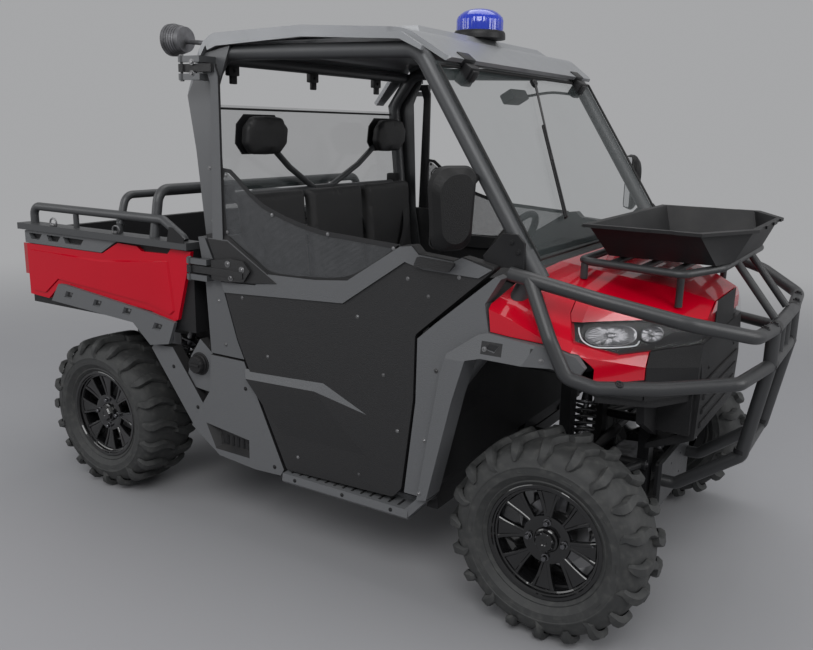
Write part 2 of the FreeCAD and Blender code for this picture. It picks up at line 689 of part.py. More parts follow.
def make_roof():
    top = roof_height
    outer = [(-533, top - 221), (-398, top - 44), (-351, top - 15, 60), (60, top - 4), (470, top - 27, 120),
             (599, top - 115)]
    inner = [(588, top - 126), (462, top - 45, 120), (60, top - 24), (-340, top - 38, 60), (-386, top - 57),
             (-519, top - 233)]
    half = roof_half_width
    shell = prism(outer + inner, "xz", -half, half)
    plan = prism([(-560, -half + 60), (-420, -half), (420, -half, 60), (600, -half + 70, 40), (600, half - 70, 40),
                  (420, half, 60), (-420, half), (-560, half - 60)], "xy", top - 300, top + 50)
    lip = [(-385, -57), (-340, -38), (60, -20), (462, -41), (540, -85), (536, -98), (455, -62), (60, -42),
           (-335, -60), (-378, -74)]
    lips = both(prism([(x, top + drop) for x, drop in lip], "xz", -half, -half + 15))
    bulge = loft([
        (top - 35, [(-300, -560), (440, -560), (440, 560), (-300, 560)]),
        (roof_height + 2, [(-255, -500), (395, -500), (395, 500), (-255, 500)]),
    ], "xy")
    ribs = [loft([(top - 20, [(-230, y - 40), (360, y - 40), (360, y + 40), (-230, y + 40)]),
                  (roof_height + 12, [(-200, y - 22), (330, y - 22), (330, y + 22), (-200, y + 22)])], "xy")
            for y in (-330, 330)]
    hollow = block((-285, -540, top - 150), (425, 540, top - 28))
    back_opening = block((-600, -cage_half_width + 60, top - 300), (-395, cage_half_width - 60, top - 92))
    whole = fused([shell.common(plan).cut(back_opening), bulge.cut(hollow)] + ribs + lips)
    save("roof", whole.cut(cage_room()), at=cab_x)


def sheet_along(line, out, normal_offset, thickness, half_width, lower, upper):
    """A flat pane along a line of a side view, off a tube's centre line: ahead if out is 1, behind if -1."""
    (xa, za), (xb, zb) = line
    length = math.hypot(xb - xa, zb - za)
    dx, dz = (xb - xa) / length, (zb - za) / length
    nx, nz = out * dz, -out * dx
    near = [(xa + dx * t + nx * normal_offset, za + dz * t + nz * normal_offset) for t in (lower, length + upper)]
    far = [(px + nx * thickness, pz + nz * thickness) for px, pz in near]
    return prism([near[0], near[1], far[1], far[0]], "xz", -half_width, half_width)


def make_glass():
    r = cage_tube_radius + seat_gap
    screen = sheet_along([CAGE_SIDE[0], CAGE_SIDE[1]], 1, r, 6, cage_half_width + 7, -8, -62)
    save("windscreen", largest(screen.cut(cage_room())), at=cab_x)
    rear = sheet_along([CAGE_SIDE[4], CAGE_SIDE[3]], -1, r, 5, cage_half_width + 7, 40, -25)
    save("rear_window", rear, at=cab_x)


def make_tub():
    half = 690.0
    floor = prism([(-350, 345.3), (600, 345.3), (620, 372), (640, 430), (640, 1090), (622, 1090), (622, 436),
                   (604, floor_top), (-350, floor_top)], "xz", -half, half)
    base = prism([(-330, 360), (60, 360), (120, 420), (130, 600, 25), (-330, 570)], "xz", -half + 40, half - 40)
    rear = prism([(-350, 350), (-326, 350), (-326, 560), (-360, 1100), (-384, 1100)], "xz", -half + 48, half - 48)
    humps = both(prism([(500, floor_top - 5), (630, floor_top - 5), (630, 700), (600, 700), (560, 480)],
                       "xz", -half, -430))
    tunnel = prism([(-90, floor_top - 5), (-60, shaft_z + 58), (60, shaft_z + 58), (90, floor_top - 5)], "yz", 100, 625)
    whole = fused([floor, base, rear, tunnel] + humps)
    channel = block((-420, -36, 300), (720, 36, shaft_z + 40))
    save("cabin_tub", largest(whole.cut(channel).cut(cage_room())), at=cab_x)


def make_dashboard():
    body = prism([(621.7, 820), (560, 880), (530, 980, 20), (560, 1090, 30), (700, 1140, 60), (862, 1156),
                  (862, 1110), (700, 1090.3), (621.7, 1090.3)], "xz", -620, 620)
    box = prism([(532, 900), (600, 900), (600, 1050), (545, 1050)], "xz", -560, -180)
    wheel_axis = steering_axis()
    hub = FreeCAD.Vector(*steering_centre)
    column = Part.makeCylinder(24, 250, hub - wheel_axis * 285, wheel_axis)
    firewall = block((621.7, -700, 300), (700, 700, 1090))
    save("dashboard", fused([body, box, column]).cut(firewall).cut(cage_room()), at=cab_x)


steering_centre = (385.0, 330.0, 1110.0)
steering_tilt = 32.0
steering_wheel_radius = 175.0


def steering_axis():
    """The steering column's direction, towards the driver."""
    t = math.radians(steering_tilt)
    return FreeCAD.Vector(-math.cos(t), 0, math.sin(t))


def make_steering_wheel():
    axis = steering_axis()
    hub = FreeCAD.Vector(*steering_centre)
    section = [(15 * math.cos(a), 15 * math.sin(a)) for a in [i * math.pi / 5 for i in range(10)]]
    ring = revolved([(h, steering_wheel_radius + w) for w, h in section], ORIGIN)
    ring.rotate(ORIGIN, FreeCAD.Vector(0, 1, 0).cross(axis), 90)
    ring.translate(hub)
    parts = [ring, Part.makeCylinder(42, 40, hub - axis * 34.7, axis)]
    across = Y_AXIS
    up = axis.cross(across)
    for angle in (0, 180, 90):
        a = math.radians(angle)
        way = across * math.cos(a) + up * math.sin(a)
        parts.append(Part.makeCylinder(10, steering_wheel_radius - 4, hub - axis * 12, way))
    save("steering_wheel", fused(parts), at=cab_x)


def make_seats():
    spans = [(-620, -215), (-205, 205), (215, 620)]
    bases, backs = [], []
    for a, b in spans:
        bases.append(prism([(-300, 572), (125, 601), (160, 640, 30), (150, 700, 40), (-260, 660, 30)], "xz", a, b))
        backs.append(prism([(-320, 690), (-240, 672, 30), (-268, 1000), (-318, 1375, 30), (-374, 1372, 20),
                            (-345, 900)], "xz", a, b))
    save("seat_cushions", *[s.cut(block((-330, -700, 300), (400, 700, 570))).cut(seat_clear()) for s in bases],
         at=cab_x)
    save("seat_backs", *backs, at=cab_x)
    pads = [prism([(-372, 1495, 20), (-318, 1490, 25), (-300, 1640, 25), (-352, 1660, 20)], "xz", y - 130, y + 130)
            for y in (-450, 450)]
    bars = [tube([(rear_bar_x, s * 30, rear_bar_z), (-380, s * 250, 1440), (-360, s * 452, 1580)], 13.3, 60) for s in (-1, 1)]
    tips = [rod((-360, s * 452, 1580), (-357, s * 466, 1589), 13.3) for s in (-1, 1)]
    save("headrests", *[p.cut(Part.makeCompound(bars + tips)) for p in pads], at=cab_x)


def seat_clear():
    """The seat base's top, which the cushions lie on with a small gap."""
    return prism([(-330, 300), (400, 300), (400, 620), (130.3, 602.3), (130.3, 600.6), (-330, 570.6)],
                 "xz", -700, 700)



DOOR = [(-302, 1036), (-378, 1205), (-262, 1206, 12), (-66, 1086, 40), (150, 1090, 60), (290, 1104, 60),
        (500, 1240, 20), (545, 1246, 10), (570, 1222, 8), (700, 1212, 8), (730, 1226, 8), (850, 1204, 8),
        (562, 950, 30), (560, 724, 30), (520, 392, 30), (486, 352, 30), (6, 336, 20), (-228, 811, 60)]

# The door's raised reliefs: the rear upper corner, and the belt under the net.
DOOR_CORNER = [(-368, 1196), (-266, 1198), (-14, 1052), (-120, 1036), (-292, 1030)]
DOOR_BELT = [(-300, 1030), (-286, 990), (270, 1020), (520, 1190), (590, 1172), (790, 1166), (836, 1196), (730, 1224),
             (700, 1208), (572, 1218), (545, 1244), (500, 1238), (290, 1102), (150, 1088), (-66, 1084), (-130, 1036)]
DOOR_STRAP = [(-335, 1112), (-232, 1127), (-172, 1122), (-140, 1088), (-172, 1046), (-240, 1037), (-335, 1037)]


def make_doors():
    outer, inner = -cab_half_width, -cab_half_width + door_thickness
    skin = prism(DOOR, "xz", outer, inner)
    well = prism([(-180, 1030), (60, 1030), (300, 1050), (480, 1120), (700, 1120), (500, 930), (490, 720), (460, 410),
                  (60, 395), (-150, 830)], "xz", inner - 26, inner + 10, 12)
    belt = prism(DOOR_BELT, "xz", outer - 6, outer + 2)
    corner = raised(DOOR_CORNER, "xz", outer + 2, -13, 14)
    # The lower panel stands out along a ridge that fades towards the front.
    y, ridge = outer + 4, outer - 14
    panel = faceted(
        [(-200, y, 702), (190, y, 722), (435, y, 618), (-182, ridge, 668), (150, ridge, 680), (30, y, 420), (430, y, 420)],
        [(0, 1, 4), (0, 4, 3), (1, 2, 4), (0, 3, 5), (3, 4, 5), (4, 6, 5), (4, 2, 6),
         (0, 5, 1), (5, 6, 1), (6, 2, 1)])
    straps = []
    for z, reach in ((lower_hinge_z, -175), (upper_hinge_z, None)):
        knuckle_eye = rod((door_hinge_x, -door_hinge_y, z - 14), (door_hinge_x, -door_hinge_y, z + 14), 12)
        if reach:
            strap = block((door_hinge_x, -door_hinge_y, z - 14), (reach, -cab_half_width + 1, z + 14))
            plate = prism(DOOR_STRAP, "xz", -cab_half_width - 22, -cab_half_width - 6)
            straps.append(fused([knuckle_eye, strap, plate]))
        else:
            arm = block((door_hinge_x, -door_hinge_y, z - 14), (-300, -cab_half_width + 6, z + 14))
            drop = prism([(-338, z + 14, 10), (-304, z + 14, 14), (-286, z - 30, 30), (-286, 1195), (-330, 1120),
                          (-338, 1190), (-322, z - 60, 30), (-338, z - 14)],
                         "xz", -cab_half_width - 6, -cab_half_width + 6)
            straps.append(fused([knuckle_eye, arm, drop]))
    latch = prism([(560, 1180), (690, 1176), (715, 1205), (575, 1214)], "xz", outer - 20, outer - 2, 6)
    bore = rod((door_hinge_x, -door_hinge_y, 900), (door_hinge_x, -door_hinge_y, 1900), 5 + running_gap)
    door = fused([skin.cut(well), panel, belt, corner, latch] + straps).cut(bore)
    net = prism([(-285.7, 1195), (-285.7, 1455), (-100, 1330, 200), (120, 1262, 400), (496, 1236), (276, 1100),
                 (-61, 1080)], "xz", outer + 3, outer + 9)
    net = net.cut(prism(DOOR, "xz", outer, inner))
    for side, name in ((RIGHT, "right"), (LEFT, "left")):
        save("door_" + name, on_side(door, side), at=cab_x)
        save("door_net_" + name, on_side(net, side), at=cab_x)


# Front body

# Sections across the nose: station, then the half outline from the lower edge up to the middle.
NOSE = [
    (790, [(752, 850), (752, 1085), (640, 1160), (330, 1185)]),
    (900, [(752, 850), (750, 1050), (618, 1150), (320, 1174)]),
    (1090, [(728, 850), (722, 960), (560, 1118), (300, 1146)]),
    (1270, [(505, 790), (505, 900), (420, 1050), (240, 1112)]),
    (1385, [(330, 790), (330, 880), (270, 1010), (170, 1070)]),
]
FLARE_OUTER = [(603, 383), (678, 840), (700, 915), (802, 990), (832, 999), (1040, 980), (1108, 956), (1136, 922)]
FLARE_INNER = [(1120, 896), (1040, 916), (820, 918), (767, 903), (725, 760), (640, 391)]
# The cowl closes the side between the door's front edge and the flare.
COWL = [(534, 383), (572, 722), (574, 940), (640, 1000), (850, 1178), (866, 1170), (815, 1086), (832, 999),
        (802, 990), (700, 915), (678, 840), (603, 383)]
FLARE_RECESSES = [[(826, 948), (838, 972), (886, 968), (868, 938)], [(984, 946), (1000, 968), (1054, 962), (1036, 934)]]


def nose_loft(shrink):
    """The nose's outside, made smaller by a wall on every side but the back and the bottom."""
    sections = []
    for x, half in NOSE:
        pts = [(max(y - shrink, 1), z if i == 0 else z - shrink) for i, (y, z) in enumerate(half)]
        if shrink:
            pts[0] = (pts[0][0], pts[0][1] - 30)
        x_in = x if x < 1380 else x - shrink
        sections.append((x_in, [(-y, z) for y, z in pts] + [(y, z) for y, z in reversed(pts)]))
    return loft(sections, "yz")


def region(points, plane="xz", start=-900, end=900):
    return prism(points, plane, start, end)


def make_nose():
    skin = nose_loft(0).cut(nose_loft(panel_thickness))
    skin = skin.cut(region([(x, z + panel_gap) for x, z in FLARE_OUTER[1:]] + [(1146, 910), (1146, 600), (600, 600)],
                           "xz", -900, 900))
    skin = skin.cut(region([(750, 1200), (886 + panel_gap, 1200), (886 + panel_gap, 1178), (824 + panel_gap, 1086),
                            (834 + panel_gap, 1002), (750, 950)], "xz", -900, 900))
    behind = block((700, -622, 700), (866, 622, 1300))
    skin = skin.cut(behind).cut(cage_room())
    hood_plan = [(780, -628), (900, -612), (1075, -560), (1270, -412), (1379, -255), (1379, 255), (1270, 412),
                 (1075, 560), (900, 612), (780, 628)]
    hood_zone = prism(hood_plan, "xy", 985, 1300)
    wide_plan = [(780, -628 - panel_gap), (900, -612 - panel_gap), (1077, -560 - panel_gap), (1274, -412 - panel_gap),
                 (1383, -255 - panel_gap), (1383, 255 + panel_gap), (1274, 412 + panel_gap),
                 (1077, 560 + panel_gap), (900, 612 + panel_gap), (780, 628 + panel_gap)]
    wide_zone = prism(wide_plan, "xy", 985 - panel_gap, 1300)
    save("hood", largest(skin.common(hood_zone)), at=cab_x)
    rest = skin.cut(wide_zone)
    lamp_line = [(1052, 1068), (1085, 995), (1190, 948), (1400, 955), (1400, 1120), (1052, 1120)]
    lamp = rest.common(region(lamp_line))
    wide_lamp = [(1052 - panel_gap, 1070), (1083, 995 - panel_gap), (1190, 948 - panel_gap),
                 (1410, 955 - panel_gap), (1410, 1140), (1052 - panel_gap, 1140)]
    rest = rest.cut(region(wide_lamp))
    side_zone = both(block((700, -900, 700), (1262, -400, 1300)))
    fender = rest.common(Part.makeCompound(side_zone))
    save("front_fenders", fender, at=cab_x)
    lamps = lamp.cut(block((1000, -150, 700), (1500, 150, 1300)))
    save("headlamps", lamps, at=cab_x)
    liner = nose_loft(panel_thickness + seat_gap).cut(nose_loft(panel_thickness + seat_gap + 7))
    keep = region([(700, 1300), (700, 860)] + [(x + 4, z + 8) for x, z in FLARE_OUTER[1:]] +
                  [(1150, 800), (1500, 700), (1500, 1300)])
    liner = liner.common(keep).cut(behind).cut(cage_room())
    front = rest.cut(Part.makeCompound(both(block((700, -900, 700), (1262 + panel_gap, -400, 1300)))))
    middle = lamp.common(block((1000, -150 + panel_gap, 700), (1500, 150 - panel_gap, 1300)))
    bridge = block((1340, -140, 960), (1372, 140, 981))
    grille = prism([(1345, 600), (1385, 620), (1392, 800), (1384, 900), (1365, 900), (1368, 800), (1360, 640),
                    (1226, 575), (1226, 555)], "xz", -300, 300)
    wings = both(prism([(-296, 610), (-296, 890), (-500, 860), (-470, 700)], "yz", 1235, 1262))
    ties = both(block((1235, -330, 640), (1372, -290, 860)))
    cowl_room = both(block((700, -900, 700), (888, -697, 1300)))
    fascia = fused([liner, front, middle, bridge, grille] + wings + ties).cut(Part.makeCompound(cowl_room))
    save("front_fascia", fascia, at=cab_x)
    band = prism(FLARE_OUTER + FLARE_INNER, "xz", -flare_half_width, -691)
    taper = prism([(940, -flare_half_width - 5), (950, -flare_half_width), (1135, -712), (1200, -712),
                   (1200, -flare_half_width - 5)], "xy", 300, 1200)
    band = band.cut(taper)
    side_cut = prism([(-flare_half_width - 5, 300), (-flare_half_width - 5, 1000), (-flare_half_width + 22, 1000),
                      (-flare_half_width, 900), (-flare_half_width, 300)], "yz", 560, 1200)
    recesses = [raised(diamond, "xz", -flare_half_width - 1, 16, 8) for diamond in FLARE_RECESSES]
    cowl = prism(COWL, "xz", -cab_half_width - 3, -700)
    flare = fused([band.cut(side_cut), cowl])
    for recess in recesses:
        flare = flare.cut(recess)
    save("front_arch_flares", *both(largest(flare.cut(cage_room()))), at=cab_x)


def make_sills():
    profile = [(-640.3, 300), (-760, 288), (-772, 300), (-768, 328), (-690.3, 331), (-690.3, 345), (-640.3, 345)]
    sill = prism(profile, "yz", 0, 560)
    nose = prism([(520, 300), (530, 310), (590, 375), (596, 383), (636, 383), (600, 345), (560, 300)], "xz", -768, -690.3)
    save("side_sills", *both(fused([sill, nose]).cut(cage_room())), at=cab_x)
    outer = -cab_half_width
    main = prism([(-14, 330), (-30, 302), (-160, 296), (-350, 312), (-500, 410), (-478, 452), (-392, 575),
                  (-380, 728), (-205, 728)], "xz", outer + 5, -690.3)
    strut = prism([(-726, 700), (-712, 716), (-602, 722), (-392, 452), (-500, 412)], "xz", outer + 12, -690.3)
    filler_plate = prism([(-538, 575), (-350, 560), (-384, 728), (-450, 778), (-505, 700)], "xz", outer + 20, -690.3)
    backing = prism([(-200, 345.3), (-440, 400), (-560, 560), (-520, 720), (-350, 728)], "xz", -700, -690.3)
    pocket = loft([(outer - 5, [(-430, 440), (-180, 412), (-180, 330), (-372, 332)]),
                   (outer + 38, [(-380, 425), (-215, 405), (-215, 352), (-350, 352)])], "xz")
    gap = region([(6 - door_gap, 336 - door_gap), (-228 - door_gap, 805), (-308, 1036), (0, 1100), (300, 600),
                  (300, 336 - door_gap)])
    body = fused([main.cut(pocket), strut, filler_plate, backing]).cut(gap)
    save("quarter_panels", *both(largest(body.cut(cage_room()))), at=cab_x)


# Front guards, rack and small fittings

def make_bull_bar():
    r = bull_tube_radius
    upper = tube([(885, -729.5, 1188), (960, -729.5, 1176), (1160, -700, 1135), (1400, -615, 1080),
                  (1562, -430, 1025), (1577, -200, 1012)], r, 90)
    rail = tube([(1577, -205, 1012), (1578, 205, 1012)], r, 50)
    lower = tube([(950, -730, 1178), (1045, -775, 1010), (1100, -772, 905), (1180, -735, 876), (1330, -615, 870),
                  (1530, -450, 880), (1577, -200, 890)], r, 50)
    low_rail = tube([(1577, -205, 890), (1577, 205, 890)], r, 50)
    posts = [tube([(1577, s * 210, 1012), (1577, s * 210, 890), (1520, s * 190, 560), (1310, s * 170, 400),
                   (1258, s * 170, 400)], r, 35) for s in (-1, 1)]
    low_cross = rod((1516, -192, 552), (1516, 192, 552), r - 4)
    braces = [rod((1577, s * 60, 1012), (1577, s * 60, 890), r - 6) for s in (-1, 1)]
    mount = prism([(-195, base_low), (195, base_low), (195, 470), (-195, 470)], "yz", 1254.3, 1266)
    side = both(upper, lower)
    whole = fused(side + [rail, low_rail, low_cross, mount] + posts + braces)
    cuts = [rod((1240, sy * winch_bolt_y / 2, winch_bolt_z + sz * winch_bolt_rise / 2), (1280, sy * winch_bolt_y / 2,
            winch_bolt_z + sz * winch_bolt_rise / 2), 4.5) for sy in (-1, 1) for sz in (-1, 1)]
    save("bull_bar", whole.cut(Part.makeCompound(cuts)), at=cab_x)


base_low = 300.0


def top_of(shape, x, y):
    """The height of a shape's top over one place."""
    line = Part.makeLine(FreeCAD.Vector(x, y, 0), FreeCAD.Vector(x, y, 3000))
    return line.common(shape).BoundBox.ZMax


def make_rack():
    r = rack_tube_radius
    loop = tube([(1000, 0, 1205), (1000, -440, 1205), (1330, -440, 1192), (1420, -300, 1205), (1428, 300, 1205),
                 (1330, 440, 1192), (1000, 440, 1205), (1000, 0, 1205)], r, 40)
    mids = [rod((x, -437, z), (x, 437, z), r - 2) for x, z in ((1100, 1202), (1200, 1198))]
    feet = []
    nose = nose_loft(0)
    for x, y in ((1015, 438), (1300, 330)):
        rim = [(x + (r - 1) * math.cos(a), y + (r - 1) * math.sin(a)) for a in range(8)]
        z = max(top_of(nose, px, py) for px, py in rim) + seat_gap
        for s in (-1, 1):
            feet.append(rod((x, s * y, 1196), (x, s * y, z), r - 1))
    feet += [rod((1300, -438, 1197), (1300, 438, 1197), r - 2)]
    stays = [rod((1425, s * 120, 1203), (1562.9, s * 120, 1029.7), r) for s in (-1, 1)]
    save("hood_rack", fused([loop] + mids + feet + stays), at=cab_x)
    low = [(1070, -365), (1410, -365), (1440, -250), (1440, 250), (1410, 365), (1070, 365)]
    high = [(1020, -450), (1370, -460), (1490, -230), (1490, 230), (1370, 460), (1020, 450)]
    outer = loft([(1218.5, low), (1326, high)], "xy")
    inner = loft([(1226, [(x + (6 if x < 1200 else -6), y * 0.982) for x, y in low]),
                  (1334, [(x + (6 if x < 1200 else -6), y * 0.985) for x, y in high])], "xy")
    rim = loft([(1316, [(x + (-14 if x < 1200 else 14), y * 1.03) for x, y in high]),
                (1326, [(x + (-14 if x < 1200 else 14), y * 1.03) for x, y in high])], "xy")
    tray = outer.fuse(rim).cut(inner)
    notches = [prism([(1498, y - 44), (1510, y - 34), (1510, y + 34), (1498, y + 44)], "xy", 1300, 1340)
               for y in (-140, 0, 140)]
    notches += both(*[prism([(x - 44, -464), (x - 34, -480), (x + 34, -480), (x + 44, -464)], "xy", 1300, 1340)
                      for x in (1110, 1260)])
    for notch in notches:
        tray = tray.cut(notch)
    save("front_tray", tray.removeSplitter(), at=cab_x)


def mirror_outline(grow):
    """The mirror head's rounded outline, larger by grow on every side."""
    half_wide, half_high = 84 + grow, 126 + grow
    return [(-half_wide + 14, -half_high, 48), (half_wide - 20, -half_high, 48), (half_wide, half_high, 62),
            (-half_wide, half_high, 40)]


def make_fittings():
    heads = []
    for s in (-1, 1):
        head = loft([(-30, mirror_outline(-24)), (-12, mirror_outline(-6)), (0, mirror_outline(0)),
                     (12, mirror_outline(-5))], "yz")
        head.rotate(ORIGIN, Z_AXIS, 180 + s * 32)
        x, z = pillar_x(mirror_z) - mirror_setback, mirror_z
        head.translate(FreeCAD.Vector(x, s * mirror_half_span, z))
        root, high, low = z + 85, z + 118, z + 69
        arm = tube([(pillar_x(root) - 24, s * (cage_half_width + 20), root), (x, s * 760, z + 55),
                    (x + 7, s * (mirror_half_span - 12), z + 15)], 11, 30)
        clamp_y = s * (cage_half_width + 30.2)
        clamp = rod((pillar_x(high) - 25, clamp_y, high), (pillar_x(low) - 25, clamp_y, low), 14)
        heads.append(fused([head, arm]))
    cage = tube([(x, -cage_half_width, z) for x, z in CAGE_SIDE], cage_tube_radius + seat_gap, 85)
    cages = Part.makeCompound([cage, mirrored(cage)])
    save("mirrors", *[h.cut(cages) for h in heads], at=cab_x)
    beacon = Part.Face(Part.makePolygon([FreeCAD.Vector(0, 0, 0), FreeCAD.Vector(100, 0, 0), FreeCAD.Vector(100, 0, 22),
                                         FreeCAD.Vector(92, 0, 34), FreeCAD.Vector(90, 0, 70),
                                         FreeCAD.Vector(70, 0, 98), FreeCAD.Vector(40, 0, 110),
                                         FreeCAD.Vector(0, 0, 112), FreeCAD.Vector(0, 0, 0)])).revolve(ORIGIN, Z_AXIS, 360)
    beacon.translate(FreeCAD.Vector(370, 0, roof_height + 2 + seat_gap))
    save("beacon", beacon, at=cab_x)
    top = roof_height
    post = tube([(-400, -560, top - 72), (-500, -560, top - 35), (-640, -560, top - 23)], 9, 20)
    body = rod((-640, -560, top - 15), (-706, -560, top - 15), 48, 62)
    lens = rod((-700, -560, top - 15), (-722, -560, top - 15), 62)
    lamp = fused([post, body, lens])
    roof_cut = prism([(-560, top - 250), (-539.2, top - 223), (-398.3, top - 43.7), (-351, top - 14.7),
                      (-200, top - 12), (-200, top - 250)], "xz", -700, 700)
    save("work_lamp", lamp.cut(roof_cut), at=cab_x)


# Cargo bed

def make_bed():
    rear, front = -1504.0, -466.0
    half, wall = bed_half_width, bed_wall
    lower = bed_floor_bottom
    floor = block((rear, -half + 20, lower), (front, half - 20, bed_floor_top))
    walls = both(block((rear, -half, lower), (front, -half + wall, bed_rim_height)))
    head = block((front - wall, -half, lower), (front, half, bed_rim_height))
    ribs = [block((rear + 6, y - 9, bed_floor_top - 2), (front - wall, y + 9, bed_floor_top + 7))
            for y in range(-600, 601, 120)]
    ears = []
    lug_x = rear_axle_x - bed_pivot_back - bed_x
    for s in (-1, 1):
        y = s * (bed_ear_y + bed_ear_thickness / 2)
        ear = prism([(lug_x - 60, lower + 2), (lug_x - 24, bed_pivot_z - 24, 14), (lug_x + 24, bed_pivot_z - 24, 14),
                     (lug_x + 60, lower + 2)], "xz", y - bed_ear_thickness / 2, y + bed_ear_thickness / 2)
        ears.append(ear)
    hinge = [rod((tail_hinge_x, s * 560, tail_hinge_z), (tail_hinge_x, s * 640, tail_hinge_z), 11) for s in (-1, 1)]
    arms = [block((rear - 2, s * 600 - 40, tail_hinge_z - 11), (rear + 20, s * 600 + 40, tail_hinge_z + 11))
            for s in (-1, 1)]
    joints = [block((tail_hinge_x, s * 600 - 40, tail_hinge_z - 8), (rear + 10, s * 600 + 40, tail_hinge_z + 8))
              for s in (-1, 1)]
    box = fused([floor, head] + walls + ribs + ears + hinge + arms + joints)
    holes = [rod((lug_x, s * 300, bed_pivot_z), (lug_x, s * 380, bed_pivot_z), bed_pivot_radius + running_gap)
             for s in (-1, 1)]
    pins = rod((tail_hinge_x, -720, tail_hinge_z), (tail_hinge_x, 720, tail_hinge_z), 5 + running_gap)
    save("cargo_box", box.cut(Part.makeCompound(holes + [pins])), at=bed_x)
    face = -half - seat_gap
    panel = prism(BED_PANEL, "xz", face - 16, face)
    bulge = raised([(-1478, 1046), (-1478, 858), (-1395, 856), (-1300, 930), (-700, 892), (-580, 862), (-560, 880),
                    (-585, 1080), (-1000, 1046)], "xz", face - 14, -8, 10)
    save("bed_side_panels", *both(fused([panel, bulge])), at=bed_x)
    trim = prism(ARCH_TRIM, "xz", face - 32, face - 16 - seat_gap)
    foot = prism([(-1330, 829), (-800, 803), (-700, 722), (-592, 742), (-596, 820), (-1330, 832)], "xz", face - 32, face)
    trim = fused([trim, foot.cut(region([(x, z - seat_gap) for x, z in BED_PANEL]))])
    for x, z in ((-1211, 871), (-1022, 858), (-835, 848), (-655, 808)):
        trim = trim.cut(raised([(x - 30, z - 16), (x - 14, z + 14), (x + 34, z + 10), (x + 16, z - 20)],
                               "xz", face - 33, 12, 7))
    ledge_trim = prism([(-1505, 1128), (-1505, 1074), (-988, 1076), (-890, 1132), (-1490, 1132)], "xz", face - 20, face)
    for low, high in ((-1475, -1405), (-1350, -1275), (-1235, -1120)):
        ledge_trim = ledge_trim.cut(prism([(low, 1120), (low + 14, 1094), (high, 1094), (high + 22, 1120)],
                                          "xz", face - 25, face + 5))
    save("bed_arch_trims", *both(largest(trim), ledge_trim), at=bed_x)
    y = -bed_half_width + 12
    ledge = [block((-1532, -772, bed_rim_height + seat_gap), (-464, -690, 1163))]
    tube_z = 1238.0
    rail = tube([(-1470, y, 1163), (-1470, y, tube_z), (-640, y, tube_z), (-530, y, 1175), (-522, y, 1163)],
                18, 40)
    posts = [rod((x, y, 1160), (x, y, tube_z), 12) for x in (-1180, -900)]
    pieces = both(fused(ledge + [rail] + posts))
    hoop_a = tube([(-700, y + 6, 1160), (-700, y + 40, 1352), (-700, -y - 40, 1352), (-700, -y - 6, 1160)], 20, 60)
    hoop_b = tube([(-900, y + 2, 1200), (-900, y + 40, 1318), (-900, -y - 40, 1318), (-900, -y - 2, 1200)], 16, 50)
    lower_cross = rod((-900, y, 1262), (-900, -y, 1262), 12)
    head_rail = block((-492, -700, bed_rim_height + seat_gap), (-466, 700, 1158))
    save("bed_rails", fused(pieces + [hoop_a, hoop_b, head_rail]), at=bed_x)
    lamps = both(block((-1531, -748, 930), (-1504.3, -712, 1070)))
    save("tail_lamps", *lamps, at=bed_x)
    gate_half = 640.0 + 60
    gate_front = -1504.0 - door_gap
    gate_back = gate_front - tailgate_thickness
    gate = block((gate_back, -gate_half, 852), (gate_front, gate_half, 1128))
    recess = block((gate_back - 5, -gate_half + 60, 890), (gate_back + 8, gate_half - 60, 1080))
    knuckles = []
    for s in (-1, 1):
        for off in (-52, 52):
            yc = s * 600 + off
            knuckles.append(rod((tail_hinge_x, yc - 8, tail_hinge_z), (tail_hinge_x, yc + 8, tail_hinge_z), 11))
            knuckles.append(block((tail_hinge_x - 9, yc - 8, tail_hinge_z), (tail_hinge_x + 9, yc + 8, 860)))
        knuckles.append(rod((tail_hinge_x, s * 600 - 58, tail_hinge_z), (tail_hinge_x, s * 600 + 58, tail_hinge_z), 5))
    handle = block((gate_back - 5, -110, 1040), (gate_back + 12, 110, 1075))
    save("tailgate", fused([gate.cut(recess)] + knuckles + [handle]), at=bed_x)


tail_hinge_x = -1529.0
tail_hinge_z = 838.0

# Side views of the bed's red panel and of the trim over the wheel arch.
BED_PANEL = [(-1503, 1071), (-1503, 838), (-1372, 832), (-1288, 902), (-700, 862), (-592, 826), (-548, 846), (-462, 1128),
             (-572, 1130), (-592, 1108), (-742, 1104), (-770, 1122), (-885, 1126), (-985, 1073)]
ARCH_TRIM = [(-1330, 832), (-1276, 910), (-1240, 912), (-690, 858), (-552, 836), (-592, 742), (-700, 722), (-800, 803)]


def main():
    os.makedirs("parts", exist_ok=True)
    make_wheels()
    make_suspension()
    make_driveline()
    make_frame()
    make_cage()
    make_roof()
    make_glass()
    make_tub()
    make_dashboard()
    make_steering_wheel()
    make_seats()
    make_doors()
    make_nose()
    make_sills()
    make_bull_bar()
    make_rack()
    make_fittings()
    make_bed()


main()
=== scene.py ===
# %% [markdown]
# # A three-seat side by side, dressed for its portrait
# The CAD frame gives every rigid shape its place. This script leaves those shapes alone. It gives
# them their paint, plastic, rubber and glass, and adds what is too small or too soft for CAD:
# bolts, clamps, wipers, belts, cushions, nets and the inside of the lamps. All lengths are metres,
# +X is forwards, +Y is the vehicle's left and +Z is up.

# %%
import json
import math

import bmesh
import bpy
from mathutils import Matrix, Vector


